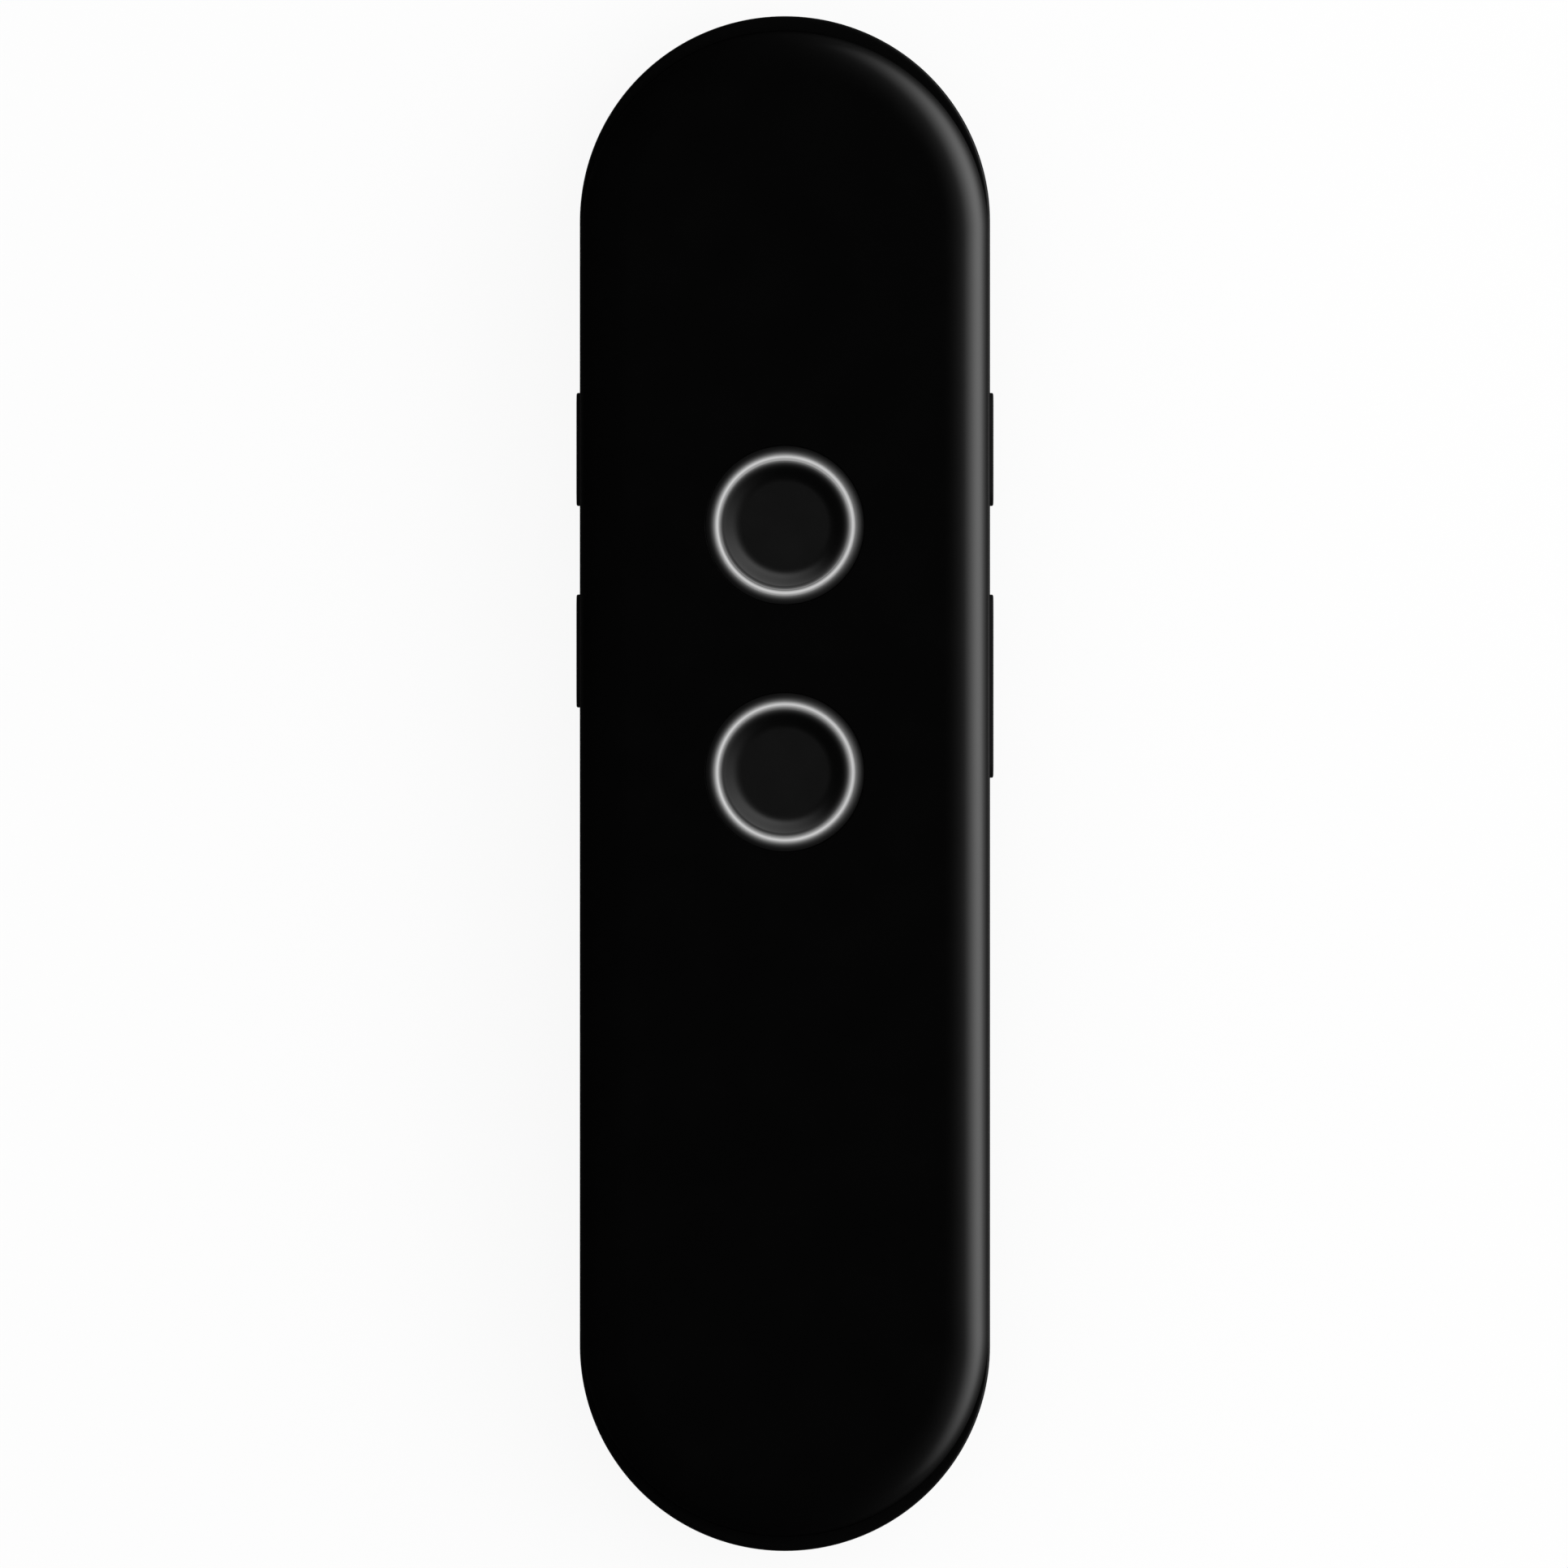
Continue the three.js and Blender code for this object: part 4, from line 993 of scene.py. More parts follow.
class Dresser:
    """Makes finished pieces and dresses nodes, with one material for each finish."""

    def __init__(self) -> None:
        """Starts without materials."""
        self._made: dict[Finish, bpy.types.Material] = {}

    def material(self, finish: Finish | Slot) -> bpy.types.Material:
        """The material of a finish, or of a slot's usual one, which is made once.

        Args:
            finish: The finish, or the slot.

        Returns:
            The material.
        """
        finish = FINISHES[finish] if isinstance(finish, Slot) else finish
        if finish not in self._made:
            self._made[finish] = finish.material()
        return self._made[finish]

    def piece(
        self,
        name: str,
        shape: Solid | bpy.types.Mesh,
        slot: Slot,
        nodes: Sequence[str] = (),
        body: str = "housing",
        finish: Finish | None = None,
    ) -> None:
        """Makes a finished piece that rides on its body.

        Args:
            name: The piece's name.
            shape: A solid in millimetres, or a mesh that is in metres already.
            slot: The record's slot that the finish belongs to.
            nodes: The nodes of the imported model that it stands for.
            body: The body that carries it.
            finish: Its finish, where that isn't the slot's usual one.
        """
        mesh = shape.in_metres() if isinstance(shape, Solid) else shape
        mesh.name = name
        mesh.materials.clear()
        mesh.materials.append(self.material(finish or slot))
        mesh.shade_smooth()
        mesh.set_sharp_from_angle(angle=SHARP_ANGLE)
        made = linked(name, mesh)
        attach(made, body)
        if nodes:
            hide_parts(*nodes)
        LOG.info("%s: %d faces on %s", name, len(mesh.polygons), body)

    def dress(self, slot: Slot, *nodes: str) -> None:
        """Gives nodes that keep their own shape the usual finish of a slot.

        Args:
            slot: The record's slot.
            nodes: The nodes' names.
        """
        material = self.material(slot)
        for name in nodes:
            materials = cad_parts[name].data.materials
            materials.clear()
            materials.append(material)
        LOG.info("%s on %s", material.name, ", ".join(nodes))


@dataclass(frozen=True)
class KeyPlace:
    """Where a side key is, and how long it is."""

    name: str
    side: Side
    y: float
    length: float = 10.5


@dataclass(frozen=True)
class Envelope:
    """The sizes that the housing's parts share."""

    width: float = 38.0
    length: float = 142.16
    thickness: float = 12.0
    wall: float = 1.6
    plate: float = 1.3
    back_height: float = 4.4
    front_height: float = 2.4
    lip_wall: float = 0.6
    lip_height: float = 0.6
    fit: float = 0.1
    board_top: float = 6.7
    seam_round: float = 0.08
    talk_keys: tuple[tuple[str, float], ...] = (("upper", 23.87), ("lower", 1.05))
    push_keys: tuple[KeyPlace, ...] = (
        KeyPlace("left_upper", Side.LEFT, 31.0),
        KeyPlace("left_lower", Side.LEFT, 12.3),
        KeyPlace("power", Side.RIGHT, 31.0),
    )
    rocker: KeyPlace = KeyPlace("volume_rocker", Side.RIGHT, 9.04, 17.0)
    rocker_pin_x: float = 16.1
    rocker_bore: float = 0.46
    side_key_height: float = 2.8
    snaps: tuple[float, ...] = (46.0, -22.0, -44.0)
    snap_length: float = 6.0
    snap_reach: float = 0.35
    snap_height: float = 0.5
    frame_screw: Point = (10.0, 61.0)
    board_screws: tuple[Point, Point] = ((12.4, 50.0), (12.4, -33.5))
    lug_thickness: float = 1.4
    speaker_y: float = -46.0
    overrun: float = 0.5
    facets: int = 96
    key_facets: int = 72
    speaker_facets: int = 32
    side_facets: int = 24
    roll_facets: int = 28
    seam_facets: int = 3

    @property
    def radius(self) -> float:
        """The radius of the housing's ends."""
        return self.width / 2

    @property
    def core(self) -> float:
        """Half the length of the housing's straight sides."""
        return self.length / 2 - self.radius

    @property
    def inner(self) -> float:
        """The mid frame's inner radius."""
        return self.radius - self.wall

    @property
    def lip_outer(self) -> float:
        """The outer radius of the lips that enter the mid frame."""
        return self.inner - self.fit

    @property
    def lip_inner(self) -> float:
        """The inner radius of those lips."""
        return self.lip_outer - self.lip_wall

    @property
    def frame_top(self) -> float:
        """The level where the mid frame meets the front cover."""
        return self.thickness - self.front_height

    @property
    def middle(self) -> float:
        """The level of the side keys and of the port."""
        return (self.back_height + self.frame_top) / 2

    @property
    def ceiling(self) -> float:
        """The level of the front cover's underside."""
        return self.thickness - self.plate

    def corners(self, place: Point) -> list[Point]:
        """The four places that mirror one place."""
        return [(sx * place[0], sy * place[1]) for sy in (1, -1) for sx in (-1, 1)]


@dataclass
class FrontCover:
    """The gloss front cover: a flat face that rolls over its edge, with a lip, snaps and ribs."""

    env: Envelope
    side_inset: float = 0.2
    end_inset: float = 1.4
    run: float = 4.2
    drop: float = 2.05
    flat_band: float = 0.6
    hole_radius: float = 7.35
    hole_break: float = 0.05
    rib: Triple = (0.9, 43.9, 0.9)
    rib_x: float = 9.0
    rib_y: float = -38.0

    def build(self, dresser: Dresser) -> None:
        """Makes the cover.

        Args:
            dresser: What makes the pieces and dresses the nodes.
        """
        holes = [self._hole().moved(y=y) for _, y in self.env.talk_keys]
        cover = self._shell().combined([*self._ribs(), *self._snaps()], holes)
        dresser.piece("front_shell", cover, Slot.GLOSS, ["front_cover"])

    def _shell(self) -> Solid:
        """The shell with its rolled edge and its lip, in one sweep.

        Returns:
            The shell.
        """
        env = self.env
        outer, top = env.radius - self.side_inset, env.thickness
        core = env.core - (self.end_inset - self.side_inset)
        round_ = env.seam_round
        turn = (outer - self.run, top - self.drop)
        roll = arc(turn, (self.run, self.drop), 90, 0, env.roll_facets)
        corner = (outer - round_, env.frame_top + round_)
        seam = arc(corner, (round_, round_), 0, -90, env.seam_facets)
        outside = with_core([(outer - self.run - self.flat_band, top), *roll, *seam], core)
        foot = env.frame_top - env.lip_height
        lip = [(env.lip_outer, env.frame_top), (env.lip_outer, foot), (env.lip_inner, foot)]
        inside = with_core([*lip, (env.lip_inner, env.ceiling)], env.core)
        return swept([*outside, *inside], env.facets)

    def _ribs(self) -> list[Solid]:
        """The two ribs under the cover, beside the battery.

        Returns:
            The ribs.
        """
        wide, long, deep = self.rib
        outline = oblong(wide, long, wide / 3, self.rib_y)
        rib = prism(outline, self.env.ceiling - deep, self.env.ceiling + self.env.overrun)
        return [rib.moved(x=side * self.rib_x) for side in (-1, 1)]

    def _snaps(self) -> list[Solid]:
        """The ramped barbs on the lip.

        Returns:
            The barbs.
        """
        env = self.env
        low, root = env.frame_top - env.lip_height, env.lip_outer - env.lip_wall / 2
        high, tip = low + env.snap_height, env.lip_outer + env.snap_reach
        lip = env.lip_outer
        ramp = [(root, low), (lip, low), (tip, (low + high) / 2), (lip, high), (root, high)]
        half = env.snap_length / 2
        barb = prism(ramp, -half, half).placed(ALONG_MINUS_Y)
        return [barb.on(side).moved(y=y) for y in env.snaps for side in Side]

    def _hole(self) -> Solid:
        """The cut for a bezel, which breaks the hole's edge.

        Returns:
            The cut, about Z.
        """
        top, out = self.env.thickness, self.hole_radius
        profile = [(out, self.env.ceiling - self.env.overrun), (out, top - self.hole_break)]
        flare = (out + 2 * self.hole_break, top + self.hole_break)
        return lathe([*profile, flare], self.env.key_facets)


@dataclass
class MidFrame:
    """The satin band between the covers, with the keys' slots, the port's mouth and screw lugs."""

    env: Envelope
    crown: float = 0.2
    crown_height: float = 1.0
    ledge: float = 0.3
    slot_gap: float = 0.15
    slot_break: float = 0.12
    lug_radius: float = 2.2
    lug_hole: float = 0.98
    ear: tuple[float, float] = (2.6, 0.45)
    ear_reach: float = 1.0
    ear_gap: float = 1.55
    port_gap: float = 0.2
    mouth_break: float = 0.3
    sound_hole: float = 0.6
    sound_level: float = 7.6
    sound_break: float = 0.15
    sound_flare: float = 0.4

    def build(self, dresser: Dresser, port: "ChargingPort") -> None:
        """Makes the frame round the port that it is given.

        Args:
            dresser: What makes the pieces and dresses the nodes.
            port: The port that the mouth is cut for.
        """
        env = self.env
        cuts = [self._slot(place) for place in (*env.push_keys, env.rocker)]
        cuts += [*self._snap_pockets(), self._mouth(port), self._sound_hole()]
        made = self._band().combined([*self._lugs(), *self._ears()], cuts)
        finish = Band(
            name="satin_band",
            colour=grey(0.006),
            roughness=0.45,
            grain=5200.0,
            depth=9e-6,
            level=0.3,
            tint=1.3,
            step=env.frame_top,
        )
        dresser.piece("side_band", made, Slot.SATIN, ["mid_frame"], finish=finish)

    def _band(self) -> Solid:
        """The band with its crowned face and its broken seam edges.

        Returns:
            The band.
        """
        env = self.env
        out, low, high = env.radius - self.crown, env.back_height, env.frame_top
        radii = (self.crown, self.crown_height)
        lower = arc((out, low + self.crown_height), radii, -90, 0, steps=10)
        upper = arc((out, high - self.crown_height), radii, 0, 90, steps=10)
        face = [(out - self.ledge, low), *lower, *upper, (out - self.ledge, high)]
        profile = [(env.inner, low), *face, (env.inner, high)]
        return stadium(profile, env.core, env.facets, ring=True)

    def _slot(self, place: KeyPlace) -> Solid:
        """The cut for a side key, with its outer edge broken.

        Args:
            place: The key's place.

        Returns:
            The cut.
        """
        env = self.env
        radius = env.side_key_height / 2 + self.slot_gap
        core = place.length / 2 + self.slot_gap - radius
        face, out = env.radius, env.overrun
        profile = [
            (radius, env.inner - out),
            (radius, face - self.slot_break),
            (radius + self.slot_break + out, face + out),
        ]
        cut = stadium(profile, core, env.side_facets).placed(ALONG_X)
        return cut.moved(y=place.y, z=env.middle).on(place.side)

    def _lugs(self) -> list[Solid]:
        """The four screw lugs, each with a web to the end wall.

        Returns:
            The lugs with their holes.
        """
        env, made = self.env, []
        low = env.board_top - env.lug_thickness
        hole = rod(self.lug_hole, low - env.overrun, env.board_top + env.overrun)
        for x, y in env.corners(env.frame_screw):
            spoke = Vector((x, y - math.copysign(env.core, y)))
            reach = env.inner + env.wall / 2 - spoke.length
            boss = arc((0, 0), (self.lug_radius, self.lug_radius), 90, 270, steps=16)
            outline = [*boss, (reach, -self.lug_radius), (reach, self.lug_radius)]
            turn = Matrix.Rotation(math.atan2(spoke.y, spoke.x), 4, "Z")
            lug = prism(outline, low, env.board_top).placed(turn)
            made.append(lug.cut(hole).moved(x, y))
        return made

    def _ears(self) -> list[Solid]:
        """The two ears that hold the rocker's pin.

        Returns:
            The ears with the pin's holes.
        """
        env, (wide, tall) = self.env, self.ear
        x, y, made = env.rocker_pin_x, env.rocker.y, []
        for low in (env.middle + self.ear_gap, env.middle - self.ear_gap - tall):
            start = (x - self.ear_reach, y - wide / 2, low)
            ear = block(start, (env.inner + env.wall / 2, y + wide / 2, low + tall))
            hole = rod(env.rocker_bore, low - env.overrun, low + tall + env.overrun)
            made.append(ear.cut(hole.moved(x, y)))
        return made

    def _snap_pockets(self) -> list[Solid]:
        """The pockets that the front cover's barbs snap into.

        Returns:
            The cuts.
        """
        env = self.env
        low = env.frame_top - env.lip_height
        half = env.snap_length / 2 + env.fit
        start = (env.inner - env.overrun, -half, low - env.fit)
        end = (env.lip_outer + env.snap_reach + env.fit, half, low + env.snap_height + env.fit)
        return [block(start, end).on(side).moved(y=y) for y in env.snaps for side in Side]

    def _mouth(self, port: "ChargingPort") -> Solid:
        """The port's opening in the bottom end, with a flared edge.

        Args:
            port: The port.

        Returns:
            The cut.
        """
        env = self.env
        end, inside = env.length / 2, env.length / 2 - env.wall - env.overrun
        plain, wide = port.outline(-self.port_gap), port.outline(-self.port_gap - self.mouth_break)
        flare = [(plain, end - 2 * self.mouth_break), (wide, end), (wide, end + env.overrun)]
        return loft((plain, inside), *flare).placed(ALONG_MINUS_Y).moved(z=env.middle)

    def _sound_hole(self) -> Solid:
        """The microphone's hole in the top end.

        Returns:
            The cut.
        """
        env, radius, flare = self.env, self.sound_hole, self.sound_flare
        edge = env.length / 2 - self.sound_break
        start = env.length / 2 - env.wall - env.overrun
        profile = [(radius, start), (radius, edge), (radius + flare, edge + flare)]
        return lathe(profile, env.side_facets).placed(ALONG_Y).moved(z=self.sound_level)


@dataclass
class BackCover:
    """The satin back cover: a shallow tub with posts, ribs and the speaker's pocket and opening."""

    env: Envelope
    inset: float = 0.25
    run: float = 5.0
    drop: float = 4.0
    flat_band: float = 0.6
    chamfer: float = 1.1
    chamfer_height: float = 1.4
    opening: Point = (18.0, 7.0)
    opening_break: float = 0.12
    pocket: Triple = (22.0, 13.0, 0.8)
    pocket_corner: float = 3.0
    pocket_height: float = 2.9
    post_radius: float = 2.0
    pilot: float = 0.88
    board_thickness: float = 1.0
    rib: Triple = (8.0, 1.0, 2.2)
    rib_x: float = 10.0
    rib_ys: tuple[float, float] = (26.6, -27.6)

    def build(self, dresser: Dresser) -> None:
        """Makes the cover.

        Args:
            dresser: What makes the pieces and dresses the nodes.
        """
        pilots = [self._pilot(place) for place in self._places()]
        joins = [self._pocket(), *self._posts(), *self._ribs()]
        made = self._tub().combined(joins, [self._opening(), *pilots])
        dresser.piece("back_shell", made, Slot.SATIN, ["back_cover"])

    def _tub(self) -> Solid:
        """The tub with its rounded edge, cavity and lip, in one sweep.

        Returns:
            The tub.
        """
        env = self.env
        outer, top, round_ = env.radius - self.inset, env.back_height, env.seam_round
        flat = outer - self.run
        edge = arc((flat, self.drop), (self.run, self.drop), -90, 0, env.roll_facets)
        seam = arc((outer - round_, top - round_), (round_, round_), 0, 90, env.seam_facets)
        lip_top = top + env.lip_height
        lip = [(env.lip_outer, top), (env.lip_outer, lip_top), (env.lip_inner, lip_top)]
        chamfer_top = (env.lip_inner, env.plate + self.chamfer_height)
        cavity = [chamfer_top, (env.lip_inner - self.chamfer, env.plate)]
        profile = [(flat - self.flat_band, 0), *edge, *seam, *lip, *cavity]
        return stadium(profile, env.core, env.facets)

    def _pocket(self) -> Solid:
        """The low wall round the speaker.

        Returns:
            The wall.
        """
        env, (wide, tall, wall), corner = self.env, self.pocket, self.pocket_corner
        top = env.plate + self.pocket_height
        outside = oblong(wide, tall, corner, env.speaker_y)
        inside = oblong(wide - 2 * wall, tall - 2 * wall, corner - wall, env.speaker_y)
        hollow = prism(inside, env.plate, top + env.overrun)
        return prism(outside, env.plate - env.overrun, top).cut(hollow)

    def _places(self) -> list[Triple]:
        """The place and the top of each screw post.

        Returns:
            X, Y and the top's level, for the frame's posts and the board's.
        """
        env = self.env
        under_lug = env.board_top - env.lug_thickness
        under_board = env.board_top - self.board_thickness
        sides = [(side * x, y, under_board) for x, y in env.board_screws for side in (-1, 1)]
        return [(x, y, under_lug) for x, y in env.corners(env.frame_screw)] + sides

    def _posts(self) -> list[Solid]:
        """The screw posts."""
        low, radius = self.env.plate - self.env.overrun, self.post_radius
        return [rod(radius, low, top, steps=20).moved(x, y) for x, y, top in self._places()]

    def _pilot(self, place: Triple) -> Solid:
        """A post's pilot hole."""
        env, (x, y, top) = self.env, place
        return rod(self.pilot, env.plate + env.overrun, top + env.overrun).moved(x, y)

    def _ribs(self) -> list[Solid]:
        """The ribs that keep the battery from sliding.

        Returns:
            The ribs.
        """
        long, wide, tall = self.rib
        low = self.env.plate - self.env.overrun
        rib = prism(oblong(long, wide, wide / 3), low, self.env.plate + tall)
        return [rib.moved(side * self.rib_x, y) for y in self.rib_ys for side in (-1, 1)]

    def _opening(self) -> Solid:
        """The speaker's opening, with its outer edge broken.

        Returns:
            The cut.
        """
        env, (long, wide) = self.env, self.opening
        radius, give = wide / 2, self.opening_break
        profile = [(radius + 2 * give, -give), (radius, give), (radius, env.plate + env.overrun)]
        cut = stadium(profile, long / 2 - radius, env.speaker_facets)
        return cut.placed(ACROSS).moved(y=env.speaker_y)


@dataclass
class TalkKey:
    """A dished talk key in its lit ring and bezel, over its switch and two lamps."""

    env: Envelope
    name: str
    y: float
    cap_radius: float = 5.95
    rim: float = 12.1
    rim_round: float = 0.2
    dish_radius: float = 3.95
    dish_level: float = 11.4
    dish_slopes: tuple[Point, ...] = (
        (0, 0), (0.25, 0.45), (0.5, 0.92), (0.66, 1), (0.9, 0.9), (1, 0.1)
    )
    flat_band: float = 0.4
    flange: Triple = (6.9, 8.5, 9.1)
    hollow: tuple[float, float] = (5.0, 10.38)
    post: tuple[float, float] = (1.5, 8.7)
    ring: Triple = (6.1, 6.5, 12.34)
    ring_foot: Triple = (7.7, 9.2, 9.9)
    bezel: Triple = (6.55, 7.3, 12.26)
    bezel_foot: tuple[float, float] = (7.95, 9.9)
    bezel_skirt: float = 11.98
    bezel_lip: float = 0.07
    bezel_hollow: float = 2.2

    def build(self, dresser: Dresser) -> None:
        """Makes the cap, the ring and the bezel, and dresses what is under them.

        Args:
            dresser: What makes the pieces and dresses the nodes.
        """
        name, y = self.name, self.y
        key = f"{name}_talk_key"
        shapes = (self._cap(), self._ring(), self._bezel())
        cap, ring, bezel = (shape.moved(y=y) for shape in shapes)
        satin = KeyFinish(f"{name}_key_satin_painted_ring_glow", y)
        dresser.piece(f"{name}_key_cap", cap, Slot.KEY, [key], key, satin)
        for part, shape, slot, node, finish in (
            ("ring_guide", ring, Slot.RING, "light_ring", RingFinish(f"{name}_ring_frosted", y)),
            ("ring_bezel", bezel, Slot.GLOSS, "bezel", BezelFinish(f"{name}_bezel_satin_painted_ring_glow", y)),
        ):
            dresser.piece(f"{name}_{part}", shape, slot, [f"{name}_{node}"], finish=finish)
        dresser.dress(Slot.NYLON, f"{name}_talk_switch")
        dresser.dress(Slot.RUBBER, f"{name}_talk_plunger")
        dresser.dress(Slot.FILM, f"{name}_ring_lamp_left", f"{name}_ring_lamp_right")

    def _dish(self, steps: int = 28) -> list[Point]:
        """The dish's slope, from its flat out to its rim.

        Args:
            steps: The facets of the slope.

        Returns:
            Points of radius and level.
        """
        shares = np.linspace(0, 1, steps + 1)
        slopes = np.interp(shares, *zip(*self.dish_slopes))
        rise = np.concatenate([[0], np.cumsum((slopes[1:] + slopes[:-1]) / 2)])
        radii = self.dish_radius + (self.cap_radius - self.rim_round - self.dish_radius) * shares
        levels = self.dish_level + (self.rim - self.dish_level) * rise / rise[-1]
        return list(zip(radii.tolist(), levels.tolist()))

    def _cap(self) -> Solid:
        """The dished cap with its flange and post.

        Returns:
            The cap, about Z.
        """
        out, round_ = self.cap_radius, self.rim_round
        rim = arc((out - round_, self.rim - round_), (round_, round_), 90, 0, steps=6)
        reach, low, high = self.flange
        profile = [
            (self.dish_radius - self.flat_band, self.dish_level),
            *self._dish()[:-1],
            *rim,
            (out, high),
            (reach, high),
            (reach, low),
            (self.hollow[0], low),
            self.hollow,
            (self.post[0], self.hollow[1]),
            self.post,
        ]
        return lathe(profile, self.env.key_facets)

    def _ring(self) -> Solid:
        """The light guide: a wide foot, and a thin wall with a round crest.

        Returns:
            The ring, about Z.
        """
        inner, outer, top = self.ring
        reach, low, high = self.ring_foot
        half = (outer - inner) / 2
        crest = arc((inner + half, top - half), (half, half), 0, 180, steps=12)
        profile = [(inner, low), (reach, low), (reach, high), (outer, high), *crest]
        return lathe(profile, self.env.key_facets, ring=True)

    def _bezel(self, steps: int = 16) -> Solid:
        """The bezel: a flange under the cover, and a hollow slope from its crest to its skirt.

        Args:
            steps: The facets of the slope.

        Returns:
            The bezel, about Z.
        """
        inner, outer, top = self.bezel
        reach, low = self.bezel_foot
        lip, skirt, ceiling = self.bezel_lip, self.bezel_skirt, self.env.ceiling
        wide, tall = outer - inner - lip, top - skirt
        shares = [1 - i / steps for i in range(steps + 1)]
        slope = [
            (inner + lip + wide * t, skirt + tall * (1 - t) ** self.bezel_hollow) for t in shares
        ]
        edge = arc((inner + lip, top - lip), (lip, lip), 90, 180, steps=4)
        under = [(inner, low), (reach, low), (reach, ceiling), (outer, ceiling)]
        return lathe([*under, *slope, *edge[1:]], self.env.key_facets, ring=True)


@dataclass
class SideKey:
    """A push key on the side, with its end tabs and the nib that works its switch."""

    env: Envelope
    place: KeyPlace
    proud: float = 0.33
    edge_round: float = 0.16
    flat_band: float = 0.25
    foot: float = 16.6
    tab_reach: float = 0.8
    tab_depth: float = 0.7
    nib_half: float = 0.6
    nib_tip: float = 16.15
    nib_level: float = 7.7

    def build(self, dresser: Dresser) -> None:
        """Makes the key, and dresses its switch and plunger.

        Args:
            dresser: What makes the pieces and dresses the nodes.
        """
        name = self.place.name
        key = self._bar().join(self._tabs(), self._nib(self.place.y)).on(self.place.side)
        body = f"{name}_key"
        dresser.piece(f"{name}_key_bar", key, Slot.SATIN, [body], body, SIDE_KEY_MATTE)
        dresser.dress(Slot.NYLON, f"{name}_switch")
        dresser.dress(Slot.RUBBER, f"{name}_plunger")

    @property
    def _radius(self) -> float:
        """The radius of the key's round ends."""
        return self.env.side_key_height / 2

    def _raised(self, profile: Sequence[Point], length: float) -> Solid:
        """A profile swept round the key's outline and raised along X."""
        solid = stadium(profile, length / 2 - self._radius, self.env.side_facets)
        return solid.placed(ALONG_X).moved(y=self.place.y, z=self.env.middle)

    def _bar(self) -> Solid:
        """The rounded bar that shows, on the right side.

        Returns:
            The bar.
        """
        radius, face, round_ = self._radius, self.env.radius + self.proud, self.edge_round
        edge = arc((radius - round_, face - round_), (round_, round_), 0, 90, steps=6)
        profile = [(radius, self.foot), *edge, (radius - round_ - self.flat_band, face)]
        return self._raised(profile, self.place.length)

    def _tabs(self) -> Solid:
        """The wider foot that stays behind the frame's wall."""
        profile = [(self._radius, self.foot), (self._radius, self.foot + self.tab_depth)]
        return self._raised(profile, self.place.length + 2 * self.tab_reach)

    def _nib(self, y: float) -> Solid:
        """The nib that presses a switch.

        Args:
            y: The switch's place along Y.

        Returns:
            The nib, on the right side.
        """
        half, level = self.nib_half, self.nib_level
        deep = self.foot + self.tab_depth / 2
        return block((self.nib_tip, y - half, level - half), (deep, y + half, level + half))


@dataclass
class Rocker(SideKey):
    """The volume rocker: one long bar on a pin, with a nib towards each end."""

    switch_reach: float = 5.2
    hub_radius: float = 1.0

    def build(self, dresser: Dresser) -> None:
        """Makes the rocker, and dresses its pin, switches and plungers.

        Args:
            dresser: What makes the pieces and dresses the nodes.
        """
        env, y, name = self.env, self.place.y, self.place.name
        low, high = env.middle - self._radius, env.middle + self._radius
        hub = rod(self.hub_radius, low, high, env.side_facets).moved(env.rocker_pin_x, y)
        bore = rod(env.rocker_bore, low - env.overrun, high + env.overrun, env.side_facets)
        nibs = [self._nib(y + end * self.switch_reach) for end in (1, -1)]
        made = self._bar().join(hub, *nibs).cut(bore.moved(env.rocker_pin_x, y))
        dresser.piece("volume_rocker_bar", made, Slot.SATIN, [name], name, SIDE_KEY_MATTE)
        dresser.dress(Slot.PLATED, "rocker_pin")
        dresser.dress(Slot.NYLON, "volume_up_switch", "volume_down_switch")
        dresser.dress(Slot.RUBBER, "volume_up_plunger", "volume_down_plunger")


# Geometry nodes


